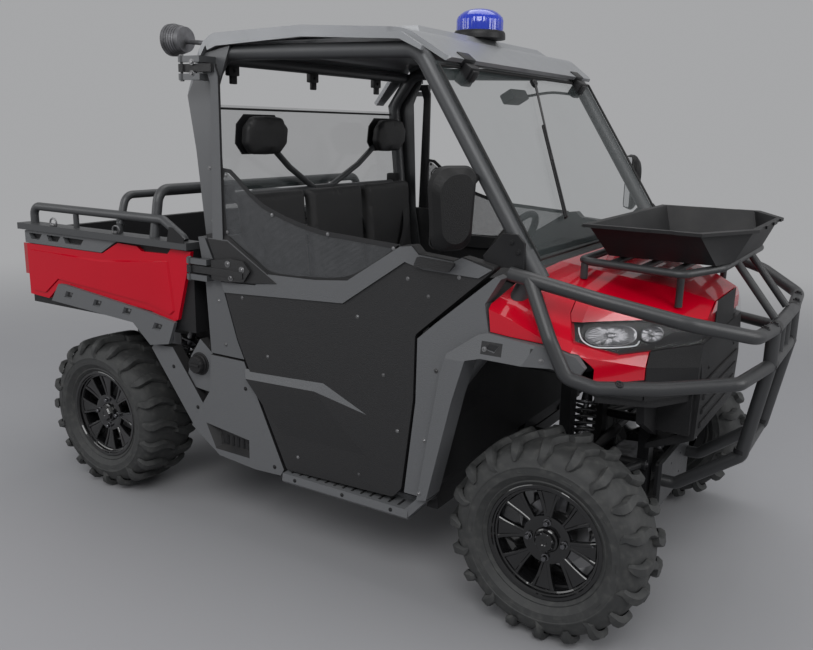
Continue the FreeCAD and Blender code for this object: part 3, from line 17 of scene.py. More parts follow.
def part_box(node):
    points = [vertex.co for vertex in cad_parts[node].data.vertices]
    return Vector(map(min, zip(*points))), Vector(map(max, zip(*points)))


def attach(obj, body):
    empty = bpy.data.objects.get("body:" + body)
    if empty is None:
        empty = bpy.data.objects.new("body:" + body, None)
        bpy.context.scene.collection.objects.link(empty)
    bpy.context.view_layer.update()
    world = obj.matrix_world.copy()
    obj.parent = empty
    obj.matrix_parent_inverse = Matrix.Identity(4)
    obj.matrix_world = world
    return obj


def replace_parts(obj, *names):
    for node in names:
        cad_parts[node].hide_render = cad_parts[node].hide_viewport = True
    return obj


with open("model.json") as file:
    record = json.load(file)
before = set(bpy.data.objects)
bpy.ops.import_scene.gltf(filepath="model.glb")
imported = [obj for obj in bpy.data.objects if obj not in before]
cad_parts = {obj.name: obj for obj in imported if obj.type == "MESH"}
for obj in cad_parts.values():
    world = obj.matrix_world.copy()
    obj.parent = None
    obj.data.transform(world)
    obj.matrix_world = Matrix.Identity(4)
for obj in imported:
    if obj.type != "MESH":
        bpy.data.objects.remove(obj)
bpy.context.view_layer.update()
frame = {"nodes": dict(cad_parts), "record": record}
nodes = frame["nodes"]

# %% [markdown]
# ## Shader maths
# A material is easier to read as sums than as a list of nodes and links. `Sock` wraps one output
# socket. Numbers add and multiply through Math nodes, vectors through Vector Math, and any other
# node is made by `node`, with its settings first and its sockets after them.

# %%


class Sock:
    """An output socket in a material. Operators on it make the nodes that they need."""

    def __init__(self, tree, socket):
        self.tree = tree
        self.socket = socket

    def node(self, kind, settings=None, sockets=None, out=0):
        """Any node: its settings first, then the values or sockets of its inputs."""
        made = self.tree.nodes.new(kind)
        for key, value in (settings or {}).items():
            setattr(made, key, value)
        for key, value in (sockets or {}).items():
            self.put(made.inputs[key], value)
        return Sock(self.tree, made.outputs[out])

    def put(self, target, value):
        """Link a socket to an input, or write a plain value. Three numbers do for a colour."""
        if isinstance(value, Sock):
            self.tree.links.new(value.socket, target)
        elif target.type == "RGBA" and len(value) == 3:
            target.default_value = (*value, 1.0)
        else:
            target.default_value = value

    def maths(self, operation, *values):
        """A Math node, or a Vector Math node where this socket is a vector."""
        kind = "ShaderNodeMath"
        if self.socket.type in {"VECTOR", "RGBA"}:
            kind = "ShaderNodeVectorMath"
            values = [(v,) * 3 if isinstance(v, (int, float)) else v for v in values]
        return self.node(kind, {"operation": operation}, dict(enumerate((self, *values))))

    def __add__(self, other):
        return self.maths("ADD", other)

    def __sub__(self, other):
        return self.maths("SUBTRACT", other)

    def __mul__(self, other):
        return self.maths("MULTIPLY", other)

    def __truediv__(self, other):
        return self.maths("DIVIDE", other)

    def size(self):
        """The value without its sign."""
        return self.maths("ABSOLUTE")

    def most(self, other):
        """The larger of two values."""
        return self.maths("MAXIMUM", other)

    def above(self, level):
        """One where the value is above the level, and nought elsewhere."""
        return self.maths("GREATER_THAN", level)

    def below(self, level):
        return self.maths("LESS_THAN", level)

    def ramp(self, low, high):
        """A smooth rise from nought at low to one at high."""
        settings = {"interpolation_type": "SMOOTHSTEP"}
        return self.node("ShaderNodeMapRange", settings, {0: self, 1: low, 2: high})

    def blend(self, here, there):
        """A colour that goes from here to there as this value goes from nought to one."""
        sockets = {0: self, 6: here, 7: there}
        return self.node("ShaderNodeMix", {"data_type": "RGBA"}, sockets, out=2)

    def part(self, axis):
        """The X, Y or Z of a vector."""
        return self.node("ShaderNodeSeparateXYZ", {}, {0: self}, out="XYZ".index(axis))

    def noise(self, scale, detail=3.0, stretch=(1, 1, 1)):
        sockets = {"Vector": self.maths("MULTIPLY", stretch), "Scale": scale, "Detail": detail}
        return self.node("ShaderNodeTexNoise", {}, sockets)

    def cells(self, scale):
        return self.node("ShaderNodeTexVoronoi", {}, {"Vector": self, "Scale": scale})

    def bump(self, distance):
        """A bumped normal from this height, the distance in metres."""
        sockets = {"Height": self, "Distance": distance, "Strength": 1.0}
        return self.node("ShaderNodeBump", {}, sockets)


def source(tree, kind, output):
    """An output of a new node that needs no inputs."""
    return Sock(tree, tree.nodes.new(kind).outputs[output])


MATERIALS = {}


def material(name, look, **uniform):
    """A material with uniform plain values, and varying ones that come from look(place, facing)."""
    made = MATERIALS[name] = bpy.data.materials.new(name)
    made.use_nodes = True
    tree = made.node_tree
    shader = tree.nodes["Principled BSDF"]
    place = source(tree, "ShaderNodeTexCoord", "Object")
    facing = source(tree, "ShaderNodeNewGeometry", "Normal")
    for key, value in {**uniform, **look(place, facing)}.items():
        place.put(shader.inputs[key.replace("_", " ")], value)
    return made


print("shader kit ready")

# %% [markdown]
# ## Paint, plastic, rubber and glass
# Every look below is worked out from the place on the object, in metres, so that grain keeps its
# real size on every piece. Dust gathers on faces that look up.

# %%
RED = (0.52, 0.0, 0.014)
SILVER = (0.25, 0.257, 0.268)
TUBE_GREY = (0.060, 0.062, 0.065)
# The grey of the trims. On the door it is also the colour of a painted highlight along the ridge.
TRIM_GREY = (0.108, 0.111, 0.116)
BLACK = (0.012, 0.012, 0.013)
DUST = (0.16, 0.15, 0.14)


def shade(colour, by):
    return [c * by for c in colour]


def dusted(place, facing, base, amount):
    """The base colour with pale dust where the face looks up and the noise is high."""
    up = facing.part("Z").ramp(0.1, 1.0)
    patch = place.noise(7.0, 6.0).ramp(0.35, 0.75)
    return (up * patch * amount).blend(base, DUST)


def grained(base, rough, grain, depth, dust=0.12):
    """Moulded plastic: an even leather-like grain, rougher in patches, and some dust."""
    def look(place, facing):
        cloud = place.noise(5.0, 4.0)
        pores = place.cells(grain).ramp(0.0, 0.8) + place.noise(grain * 0.6, 2.0) * 0.5
        return {"Base Color": dusted(place, facing, base, dust),
                "Roughness": cloud * 0.18 + (rough - 0.09), "Normal": pores.bump(depth)}
    return look


def powder_coat(base, rough):
    """Baked powder on steel: a fine orange peel and small differences in gloss."""
    def look(place, facing):
        return {"Base Color": dusted(place, facing, base, 0.10),
                "Roughness": place.noise(9.0, 5.0) * 0.2 + (rough - 0.1),
                "Normal": place.noise(420.0, 2.0).bump(0.0004)}
    return look


def gloss(base, peel_depth=0.00012):
    """Lacquered paint: deep colour under a clear coat that waves very slightly."""
    def look(place, facing):
        wave = place.noise(34.0, 1.0) * 0.7 + place.noise(260.0, 1.0) * 0.3
        return {"Base Color": place.noise(2.5, 3.0).blend(shade(base, 0.9), shade(base, 1.08)),
                "Roughness": place.noise(11.0, 4.0) * 0.08 + 0.2, "Normal": wave.bump(peel_depth)}
    return look


def rubber(place, facing):
    """Tyre rubber: nearly black, scuffed paler on the lugs' faces, with fine mould grain."""
    scuff = place.noise(42.0, 6.0).ramp(0.45, 0.8)
    return {"Base Color": (scuff * 0.6).blend((0.030, 0.031, 0.031), (0.075, 0.075, 0.071)),
            "Roughness": scuff * 0.15 + 0.62,
            "Normal": (place.noise(600.0, 3.0) + place.noise(70.0, 3.0)).bump(0.0008)}


def cast(base, rough):
    """Sand-cast metal with a coarse skin and grime in its hollows."""
    def look(place, facing):
        grime = place.noise(18.0, 5.0).ramp(0.4, 0.75)
        return {"Base Color": grime.blend(base, shade(base, 0.35)),
                "Roughness": grime * 0.25 + rough, "Normal": place.noise(350.0, 4.0).bump(0.0006)}
    return look


def vinyl(place, facing):
    """Seat vinyl: a shallow pebble grain with soft creases."""
    pebbles = place.cells(520.0).ramp(0.0, 0.7)
    crease = place.noise(14.0, 4.0)
    return {"Base Color": crease.blend((0.012, 0.012, 0.0125), (0.022, 0.022, 0.023)),
            "Roughness": crease * 0.2 + 0.42, "Normal": (pebbles * 0.35 + crease).bump(0.0012)}


def webbing(place, facing):
    """Woven belt: fine ribs across the strap."""
    rib = place.node("ShaderNodeTexWave", {"wave_type": "BANDS", "bands_direction": "Z"},
                     {"Vector": place, "Scale": 320.0})
    return {"Base Color": rib.blend((0.01, 0.01, 0.011), (0.03, 0.03, 0.032)),
            "Normal": rib.bump(0.0004)}


NET_PITCH = 0.0042


def mesh_net(place, facing):
    """Open net: round holes on a staggered grid, seen through between the threads."""
    across, up = place.part("X") / NET_PITCH, place.part("Z") / NET_PITCH
    shift = up.maths("FLOOR").maths("MODULO", 2.0) * 0.5
    dx, dz = ((part.maths("FRACT") - 0.5) for part in (across + shift, up))
    hole = (dx * dx + dz * dz).below(0.12)
    return {"Alpha": hole * -0.85 + 1.0,
            "Base Color": place.noise(30.0).blend((0.045, 0.047, 0.05), (0.09, 0.093, 0.098))}


def brushed(base, rough):
    """Metal with fine lines drawn along X."""
    def look(place, facing):
        lines = place.noise(40.0, 3.0, stretch=(1, 18, 18))
        return {"Base Color": lines.blend(shade(base, 0.8), base),
                "Roughness": lines * 0.2 + rough, "Normal": lines.bump(0.0002)}
    return look


def clear(alpha, rough=0.02):
    """A pane seen through: thin, faintly tinted and shiny, with a trace of smear."""
    def look(place, facing):
        smear = place.noise(3.0, 5.0).ramp(0.45, 0.9)
        return {"Alpha": smear * 0.05 + alpha, "Roughness": smear * 0.06 + rough}
    return look


def frosted(rough):
    """A coloured lens, its gloss slightly uneven."""
    return lambda place, facing: {"Roughness": place.noise(60.0) * 0.1 + rough}


# %% [markdown]
# Some nodes are moulded or painted in two colours, and on the door the ridge's upward facet
# takes a painted highlight. What tells the colours apart is the place on the node: how far a
# face stands out, which way it looks and how high it is.

# %%


def two_tone(base_look, mask, other, dust=0.0):
    """A look that takes another colour where mask(place, facing) is one."""
    def look(place, facing):
        made = base_look(place, facing)
        colour = dusted(place, facing, other, dust) if dust else other
        made["Base Color"] = mask(place, facing).blend(made["Base Color"], colour)
        return made
    return look


def outer_face(place, facing, least, beyond):
    """One on faces that look sideways and lie further out than beyond."""
    return facing.part("Y").size().above(least) * place.part("Y").size().above(beyond)


def door_skin(place, facing):
    """Black grain, smoother on the straps over it."""
    look = grained(BLACK, 0.55, 420.0, 0.0006)(place, facing)
    strap = place.part("Y").size().above(0.7645) * place.part("Z").above(0.95)
    look["Roughness"] = look["Roughness"] - strap * 0.12
    return look


def door_belt_and_ridge_highlight(place, facing):
    """The grey belt, and a painted highlight on the facets along the ridge that look up."""
    out, z = place.part("Y").size(), place.part("Z")
    # The ridge's facets that look up are painted in the trim grey as a highlight. The belt is real
    # grey trim.
    ridge_highlight = out.above(0.7452) * facing.part("Z").above(0.25) * z.above(0.55) * z.below(0.75)
    return ridge_highlight.most(out.above(0.7545) * out.below(0.7575) * z.above(0.95))


def quarter_grey(place, facing):
    """All but the step's pocket and the ring round the tank's filler."""
    return outer_face(place, facing, 0.8, 0.7295)


def cage_grey(place, facing):
    """The flat covers of the rear posts."""
    x = place.part("X")
    return outer_face(place, facing, 0.9, 0.6945) * x.above(-0.56) * x.below(-0.2)


def pockets(node, middles, half, low, high, deep=0.003):
    """The pockets' floors, told by how far they lie below the node's face."""
    face_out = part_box(node)[1].y

    def mask(place, facing):
        x, z = place.part("X"), place.part("Z")
        pocket = (x - middles[0]).size().below(half)
        for middle in middles[1:]:
            pocket = pocket.most((x - middle).size().below(half))
        floor = place.part("Y").size().below(face_out - deep) * z.above(low) * z.below(high)
        return floor * facing.part("Y").size().above(0.95) * pocket
    return mask


def fender_look(place, facing):
    """Painted down to the guard's lower bar, and black plastic below it."""
    painted = place.part("Z").above(0.862)
    look = gloss(RED)(place, facing)
    look["Base Color"] = painted.blend(BLACK, look["Base Color"])
    look["Roughness"] = painted * -0.3 + 0.52
    look["Coat Weight"] = painted * 0.8
    return look


def lamp_cover_look(place, facing):
    """Clear over the lamps, and painted like the bonnet above them."""
    painted = (place.part("Z") + place.part("X") * 0.03).above(1.0775)
    smear = place.noise(3.0, 5.0).ramp(0.45, 0.9)
    return {"Base Color": painted.blend((0.12, 0.125, 0.13), RED),
            "Alpha": painted.most(smear * 0.04 + 0.06), "Roughness": painted * 0.18 + 0.03}


print("looks ready to make")

# %%
TRIM = grained(TRIM_GREY, 0.5, 380.0, 0.0005)
PANE = dict(Specular_IOR_Level=0.8, Coat_Weight=1.0, Coat_Roughness=0.01)
LOOKS = {
    "red_gloss": (gloss(RED), dict(Coat_Weight=0.55, Coat_Roughness=0.02, Specular_IOR_Level=0.05)),
    "roof_grey": (powder_coat(SILVER, 0.4),
                  dict(Metallic=0.35, Coat_Weight=0.3, Coat_Roughness=0.25)),
    "tube_grey": (powder_coat(TUBE_GREY, 0.42), dict(Metallic=0.2)),
    "guard_black": (powder_coat((0.034, 0.035, 0.037), 0.4), dict(Metallic=0.1)),
    "frame_black": (powder_coat(BLACK, 0.42), dict(Specular_IOR_Level=0.3)),
    "spring_black": (powder_coat((0.015, 0.015, 0.016), 0.42), {}),
    "grey_plastic": (TRIM, {}),
    "black_plastic": (grained(BLACK, 0.52, 420.0, 0.0005), dict(Specular_IOR_Level=0.3)),
    "mirror_black": (grained((0.007, 0.007, 0.0075), 0.45, 420.0, 0.0004, 0.03),
                     dict(Specular_IOR_Level=0.25)),
    "dark_rubber": (grained((0.01, 0.01, 0.0105), 0.7, 300.0, 0.0003), {}),
    "rim_black": (gloss((0.005, 0.005, 0.0055)),
                  dict(Coat_Weight=1.0, Coat_Roughness=0.03, Specular_IOR_Level=0.2)),
    "lamp_housing": (gloss((0.006, 0.006, 0.0065)), dict(Coat_Weight=0.5, Coat_Roughness=0.15)),
    "lamp_glow": (gloss((0.72, 0.74, 0.76), 0.0002), dict(Coat_Weight=1.0, Coat_Roughness=0.02)),
    "tyre_rubber": (rubber, {}),
    "cast_grey": (cast((0.2, 0.2, 0.21), 0.4), dict(Metallic=0.8)),
    "engine_grey": (cast((0.07, 0.07, 0.072), 0.5), dict(Metallic=0.5)),
    "gunmetal": (cast((0.10, 0.10, 0.105), 0.32), dict(Metallic=0.9)),
    "screw": (cast((0.22, 0.22, 0.225), 0.3), dict(Metallic=0.7)),
    "steel": (brushed((0.35, 0.35, 0.36), 0.3), dict(Metallic=1.0)),
    "chrome": (brushed((0.16, 0.16, 0.17), 0.16), dict(Metallic=1.0, Coat_Weight=0.4)),
    "mirror_glass": (brushed((0.70, 0.71, 0.72), 0.02), dict(Metallic=1.0)),
    "seat_vinyl": (vinyl, {}),
    "net_grey": (mesh_net, dict(Roughness=0.7)),
    "belt": (webbing, dict(Roughness=0.7)),
    "clear_glass": (clear(0.15), dict(Base_Color=(0.10, 0.125, 0.125), **PANE)),
    "lens_clear": (clear(0.16), dict(Base_Color=(0.8, 0.82, 0.84), **PANE)),
    "lens_blue": (frosted(0.08), dict(Base_Color=(0.004, 0.035, 0.55), Transmission_Weight=0.45,
                                      Emission_Color=(0.0, 0.08, 1.0), Emission_Strength=0.08,
                                      Coat_Weight=1.0)),
    "lens_red": (frosted(0.1), dict(Base_Color=(0.35, 0.004, 0.006), Coat_Weight=1.0)),
    # The door is black with a grey belt, and the ridge's upward facet takes a painted highlight.
    "door_two_tone": (two_tone(door_skin, door_belt_and_ridge_highlight, TRIM_GREY, 0.05), {}),
    "quarter_two_tone": (two_tone(grained(BLACK, 0.55, 420.0, 0.0005), quarter_grey, TRIM_GREY,
                                  0.06), {}),
    "cage_two_tone": (two_tone(powder_coat(TUBE_GREY, 0.42), cage_grey, TRIM_GREY),
                      dict(Metallic=0.2)),
    "flare_pockets": (two_tone(TRIM, pockets("front_arch_flares", (0.829, 0.993), 0.036, 0.933,
                                             0.974), BLACK), {}),
    "trim_pockets": (two_tone(TRIM, pockets("bed_arch_trims", (-1.230, -1.043, -0.855, -0.675),
                                            0.026, 0.78, 0.90), BLACK), {}),
    "fender_two_tone": (fender_look, dict(Coat_Roughness=0.03, Specular_IOR_Level=0.3)),
    "lamp_cover": (lamp_cover_look,
                   dict(Coat_Weight=1.0, Coat_Roughness=0.02, Specular_IOR_Level=0.7)),
}
for name, (look, uniform) in LOOKS.items():
    material(name, look, **uniform)
print(len(MATERIALS), "looks made")

# %% [markdown]
# Each CAD node takes the look that the record names for it, unless it has one of its own here.

# %%
SLOT_OF = {part["node"]: part["material_slot"] for part in frame["record"]["subparts"]}
OWN_LOOK = {"door_right": "door_two_tone", "door_left": "door_two_tone",
            "roll_cage": "cage_two_tone", "quarter_panels": "quarter_two_tone",
            "front_fenders": "fender_two_tone", "front_arch_flares": "flare_pockets",
            "bed_arch_trims": "trim_pockets", "headlamps": "lamp_cover",
            "bull_bar": "guard_black", "hood_rack": "guard_black"}
for name, obj in nodes.items():
    obj.data.materials.clear()
    obj.data.materials.append(MATERIALS[OWN_LOOK.get(name, SLOT_OF[name])])
print("painted", len(SLOT_OF), "nodes")

# %% [markdown]
# The camera was measured from the wheels, in a frame whose origin is midway between the axles.
# `M` takes a place in that frame.

# %%
axles = [sum(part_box("rim_%s_right" % end), Vector()) / 2 for end in ("front", "rear")]
AXLES_MIDDLE = (axles[0].x + axles[1].x) / 2
PHOTO_WIDE, PHOTO_HIGH = 813, 650
FOCAL = 837.3
CAMERA_PLACE = (1.951, -3.044, 1.623)
turn, down, roll = (math.radians(a) for a in (31.8, 13.42, 1.16))
ROOF_TOP = 1.95


def M(x, y, z):
    """A place measured from the axles' middle, as a point of the part's own frame."""
    return Vector((x + AXLES_MIDDLE, y, z))


camera_spot = M(*CAMERA_PLACE)
look = Vector((-math.sin(turn) * math.cos(down), math.cos(turn) * math.cos(down), -math.sin(down)))
right = Vector((math.cos(turn), math.sin(turn), 0))
up = right.cross(look)
level_right = math.cos(roll) * right + math.sin(roll) * up
level_up = -math.sin(roll) * right + math.cos(roll) * up
print("axles' middle at", round(AXLES_MIDDLE, 4))

# %% [markdown]
# ## Making small pieces
# `Shape` is a mesh under construction. It is made of rows of points with faces between them, and
# everything small here is one of a few solids: a turned profile, a tube along a path, a plate with
# chamfered edges, or a bolt. Profiles and outlines are easier to read in millimetres, so `mm`
# turns a row of them into metres.

# %%
AHEAD, BACK, LEFT, RIGHT, ABOVE, BELOW = ((1, 0, 0), (-1, 0, 0), (0, 1, 0), (0, -1, 0),
                                          (0, 0, 1), (0, 0, -1))
SIDES = ((-1, "right"), (1, "left"))
PAIR = (-1, 1)


def mm(*rows, up=0.0):
    """Rows of millimetres as metres, with up added to the last number of each."""
    return [(*(v / 1000 for v in row[:-1]), row[-1] / 1000 + up) for row in rows]


def rect(w, h):
    """A rectangle's corners, w and h being half its sides."""
    return [(-w, -h), (w, -h), (w, h), (-w, h)]


def stand(origin, out, along=ABOVE):
    """A place whose Z points out and whose Y lies as near as it can to along."""
    z = Vector(out).normalized()
    x = Vector(along).cross(z).normalized()
    return Matrix.Translation(Vector(origin)) @ Matrix((x, z.cross(x), z)).transposed().to_4x4()


def moved(where, h=0.0, u=0.0, v=0.0):
    """The same place, h further out and u and v along its face."""
    return where @ Matrix.Translation((u, v, h))


def around(where, r, t, h=0.0):
    """The point at radius r, angle t and height h about a place."""
    return where @ Vector((r * math.cos(t), r * math.sin(t), h))


def circle(steps, start=0.0):
    return [start + 2 * math.pi * k / steps for k in range(steps)]


def inset(outline, distance):
    """An outline moved inwards, each corner along its own bisector."""
    turn = sum(a[0] * b[1] - b[0] * a[1] for a, b in zip(outline, outline[1:] + outline[:1]))
    sign = 1 if turn > 0 else -1
    moved_in = []
    for i, here in enumerate(outline):
        before, after = Vector(outline[i - 1]), Vector(outline[(i + 1) % len(outline)])
        here = Vector(here)
        a, b = (here - before).normalized(), (after - here).normalized()
        na, nb = Vector((-a.y, a.x)) * sign, Vector((-b.y, b.x)) * sign
        moved_in.append(tuple(here + (na + nb) * (distance / max(0.35, 1 + na.dot(nb)))))
    return moved_in


def smooth_path(points, pieces=5):
    """A curve through the points, as many short runs between each two."""
    pts = [Vector(p) for p in points]
    pts = [pts[0] * 2 - pts[1]] + pts + [pts[-1] * 2 - pts[-2]]
    line = []
    for a, b, c, d in zip(pts, pts[1:], pts[2:], pts[3:]):
        for k in range(pieces):
            t = k / pieces
            line.append(0.5 * (2 * b + (c - a) * t + (2 * a - 5 * b + 4 * c - d) * t * t
                               + (3 * b - a - 3 * c + d) * t * t * t))
    return line + [pts[-2]]


def round_trip(corners, count):
    """Points along a closed line through the corners, count of them on each side."""
    return [a.lerp(b, k / count) for a, b in zip(corners, corners[1:] + corners[:1])
            for k in range(count)]


def add(name, data):
    """A new object in the scene."""
    obj = bpy.data.objects.new(name, data)
    bpy.context.scene.collection.objects.link(obj)
    return obj


def mesh_of(bm, name):
    """The finished mesh of a bmesh, which is then let go."""
    mesh = bpy.data.meshes.new(name)
    bm.to_mesh(mesh)
    bm.free()
    return mesh


print("places and paths ready")


def dress(obj, look, body, angle=38):
    """Smooth shading up to an angle, a material and a body to ride on."""
    mesh = obj.data
    for face in mesh.polygons:
        face.use_smooth = True
    mesh.set_sharp_from_angle(angle=math.radians(angle))
    mesh.materials.clear()
    mesh.materials.append(MATERIALS[look])
    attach(obj, body)


# A bolt head's profile in shares of its radius, and its number of sides.
BOLT_HEADS = {
    "hex": (((0, 0), (1, 0), (1, 0.75), (0.86, 0.9), (0.5, 0.9), (0.45, 0.8), (0, 0.8)), 6),
    "button": (((0, 0), (1, 0), (0.95, 0.4), (0.6, 0.72), (0.42, 0.72), (0.36, 0.35), (0, 0.3)),
               12)}


class Shape:
    """A mesh under construction."""

    def __init__(self):
        self.bm = bmesh.new()

    def skin(self, rings, closed=True, loop=False):
        """Faces between rings of points, and over both ends. With loop the last ring joins the
        first."""
        rows = [[self.bm.verts.new(p) for p in ring] for ring in rings]
        count = len(rows[0])
        for a, b in list(zip(rows, rows[1:])) + ([(rows[-1], rows[0])] if loop else []):
            for i in range(count if closed else count - 1):
                j = (i + 1) % count
                self.bm.faces.new((a[i], a[j], b[j], b[i]))
        if closed and not loop:
            self.bm.faces.new(rows[0])
            self.bm.faces.new(rows[-1])
        return self

    def lathe(self, where, profile, steps=24, loop=False, start=0.0):
        """A turned solid about the place's Z. The profile is (radius, height) pairs."""
        return self.skin([[around(where, max(r, 0.00002), t, h) for t in circle(steps, start)]
                          for r, h in profile], loop=loop)

    def tube(self, path, radius, steps=8, squash=1.0, loop=False, side=ABOVE):
        """A tube along a path. Squash flattens it across side."""
        rings = []
        normal = Vector(side)
        for i, here in enumerate(path):
            before = path[i - 1] if i or loop else here
            after = path[(i + 1) % len(path)] if i + 1 < len(path) or loop else here
            ahead = (after - before).normalized()
            normal = (normal - ahead * normal.dot(ahead)).normalized()
            across = ahead.cross(normal)
            r = radius[i] if isinstance(radius, list) else radius
            rings.append([here + across * (r * math.cos(t)) + normal * (r * squash * math.sin(t))
                          for t in circle(steps)])
        return self.skin(rings, loop=loop)

    def ribbon(self, path, cross):
        """A flat strip; cross(ahead) gives half its width and half its thickness as vectors."""
        rings = []
        for i, here in enumerate(path):
            ahead = path[min(i + 1, len(path) - 1)] - path[max(i - 1, 0)]
            flat, out = cross(ahead.normalized())
            rings.append([here - flat - out, here + flat - out, here + flat + out,
                          here - flat + out])
        return self.skin(rings)

    def plate(self, where, outline, thick, edge=0.001):
        """A flat plate standing up from the place's XY plane, its upper edge chamfered."""
        levels = [(outline, 0.0), (outline, thick - edge), (inset(outline, edge), thick)]
        return self.skin([[where @ Vector((u, v, h)) for u, v in ring] for ring, h in levels])

    def box(self, low, high, edge=0.003, turn=0.0, at=(0, 0, 0)):
        """A box with rounded edges between two corners, both measured from at, and turned about
        its middle's Y, in radians."""
        low, high = Vector(at) + Vector(low), Vector(at) + Vector(high)
        made = bmesh.ops.create_cube(self.bm, size=1.0)["verts"]
        spot = Matrix.Translation((low + high) / 2) @ Matrix.Rotation(turn, 4, "Y")
        bmesh.ops.transform(self.bm, matrix=spot @ Matrix.Diagonal((*(high - low), 1.0)),
                            verts=made)
        edges = list({e for v in made for e in v.link_edges})
        bmesh.ops.bevel(self.bm, geom=edges, offset=edge, segments=2, affect="EDGES", profile=0.6)
        return self

    def bolt(self, where, radius=0.006, kind="button"):
        """A bolt head on its washer. A button head has a six-sided socket in a dome."""
        below = -0.0015 / radius
        washer = ((0, below), (1.5, below), (1.5, 0.14), (1.42, 0.22), (0, 0.22))
        for shares, steps in ((washer, 20), BOLT_HEADS[kind]):
            self.lathe(where, [(radius * r, radius * h) for r, h in shares], steps)
        return self

    def side_bolts(self, node, places, radius=0.006, kind="button", side=-1):
        """Bolt heads on a node's outer face, at places (x, z) seen from one side."""
        for x, z in places:
            spot = surface(node, M(x, side, z), (0, -side, 0))[0]
            self.bolt(stand(spot, (0, side, 0), (0.3, 0.1, 1)), radius, kind)
        return self

    def mirrored(self):
        """A second copy of everything so far, on the vehicle's other side."""
        geom = self.bm.verts[:] + self.bm.edges[:] + self.bm.faces[:]
        made = bmesh.ops.duplicate(self.bm, geom=geom)["geom"]
        verts = [g for g in made if isinstance(g, bmesh.types.BMVert)]
        bmesh.ops.scale(self.bm, vec=(1, -1, 1), verts=verts)
        return self

    def piece(self, name, look, body="chassis", slot=None, angle=38):
        """The finished object, on its body and with its look."""
        bmesh.ops.remove_doubles(self.bm, verts=self.bm.verts, dist=0.00005)
        bmesh.ops.recalc_face_normals(self.bm, faces=self.bm.faces)
        obj = add(name, mesh_of(self.bm, name))
        dress(obj, look, body, angle)
        return obj


def surface(node, start, way):
    """Where a straight line first meets a CAD node, and which way its face looks there."""
    hit, spot, normal, index = nodes[node].ray_cast(Vector(start), Vector(way))
    if not hit:
        print("nothing of", node, "at", [round(v, 3) for v in start])
        return Vector(start), -Vector(way)
    return spot, normal


print("piece kit ready")

# %% [markdown]
# ## Tyres
# Each tyre is a turned carcass with lugs swept over it. A lug starts on the tread, runs out over
# the shoulder and ends in a small hook on the sidewall. The two sides are half a pitch apart.
# Every second lug is long. A row of the path is: distance from the middle and from the axle as
# shares of the tyre's, lean round the tyre in pitches, width and depth.

# %%
CORNERS = [(end + "_" + name, side) for end in ("front", "rear") for side, name in SIDES]
LUGS = 20
CAD_RADIUS = 0.343
TYRE_BULGE = 1.05
MARKS = 10
BEAD_IN, RIM_IN, FACE_IN = 0.0293, 0.022, 0.026
LUG_PATH = [(0.01, 1.0, 0.0, 0.027, 0.021), (0.25, 1.0, 0.35, 0.030, 0.021),
            (0.50, 0.998, 0.55, 0.032, 0.021), (0.72, 0.99, 0.50, 0.033, 0.021),
            (0.88, 0.967, 0.42, 0.034, 0.021), (0.985, 0.925, 0.42, 0.033, 0.018),
            (1.03, 0.875, 0.50, 0.028, 0.013), (1.035, 0.825, 0.62, 0.023, 0.0095),
            (1.02, 0.79, 0.50, 0.020, 0.008), (1.00, 0.765, 0.30, 0.014, 0.005)]


def half_width(name):
    low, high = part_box(name)
    return (high.y - low.y) / 2 / TYRE_BULGE


def carcass(half, outer):
    """The tyre's profile from bead to bead, as (radius, distance from the middle)."""
    side = mm((179.5, 0), (196.5, 3.5), (203, 10), (206.5, 13.5), (208.5, 13.5), (211.5, 11.5),
              up=half - BEAD_IN)
    side += [(0.232, half * 0.985), (0.256, half), (0.2575, half + 0.0012),
             (0.261, half + 0.0012), (0.2625, half), (0.279, half * 0.975), (0.297, half * 0.90),
             (0.3095, half * 0.78), (0.3165, half * 0.6), (0.3205, half * 0.3)]
    profile = [(r, -h) for r, h in side] + [(0.322, 0.0)] + side[::-1]
    return [(r * outer / CAD_RADIUS, h) for r, h in profile]


def lug(where, half, outer, flip, path, start):
    """One lug's rings. Start is its angle in pitches."""
    rings = []
    for k, (h, r, lean, width, depth) in enumerate(path):
        ahead, behind = path[min(k + 1, len(path) - 1)], path[max(k - 1, 0)]
        run = Vector(((ahead[0] - behind[0]) * half, (ahead[1] - behind[1]) * outer))
        out = Vector((-run.y, run.x)).normalized()
        out = -out if out.y < -0.3 or (abs(out.y) <= 0.3 and out.x < 0) else out
        taper = 0.6 if k == len(path) - 1 else 1.0
        w, d = width * taper / 2, depth * taper
        turn = (start + (lean - 0.3) * 0.52 * flip) * 2 * math.pi / LUGS
        ring = []
        for across, up in ((-w - 0.003, -d), (-w, -0.005), (-w + 0.004, 0),
                           (w - 0.004, 0), (w, -0.005), (w + 0.003, -d)):
            reach = r * outer + out.y * up
            ring.append(around(where, reach, turn + across / reach, (h * half + out.x * up) * flip))
        rings.append(ring)
    return rings


def tyre(name, body):
    low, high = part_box(name)
    outer, half = (high.z - low.z) / 2, half_width(name)
    where = stand((low + high) / 2, LEFT)
    shape = Shape().lathe(where, carcass(half, outer), 120, loop=True)
    for i in range(LUGS * 2):
        path = LUG_PATH if (i // 2) % 2 else LUG_PATH[:-2]
        shape.skin(lug(where, half, outer, 1 if i % 2 else -1, path, i / 2))
    turned = where.to_3x3()
    for t in circle(MARKS):
        for flip in PAIR:
            spot = around(where, 0.243, t, half * 0.993 * flip)
            out = (turned @ Vector((0, 0, flip))).normalized()
            radial = (turned @ Vector((math.cos(t), math.sin(t), 0))).normalized()
            shape.plate(stand(spot - out * 0.002, out, radial),
                        mm((-16, -2), (16, -2), (14, 2), (-14, 2)), 0.0032, 0.0008)
    made = shape.piece("tread_" + name, "tyre_rubber", body, angle=30)
    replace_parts(made, name)
    return made


tyres = [tyre("tyre_" + corner, "wheel_" + corner) for corner, side in CORNERS]
print("tyres", [len(t.data.polygons) for t in tyres])

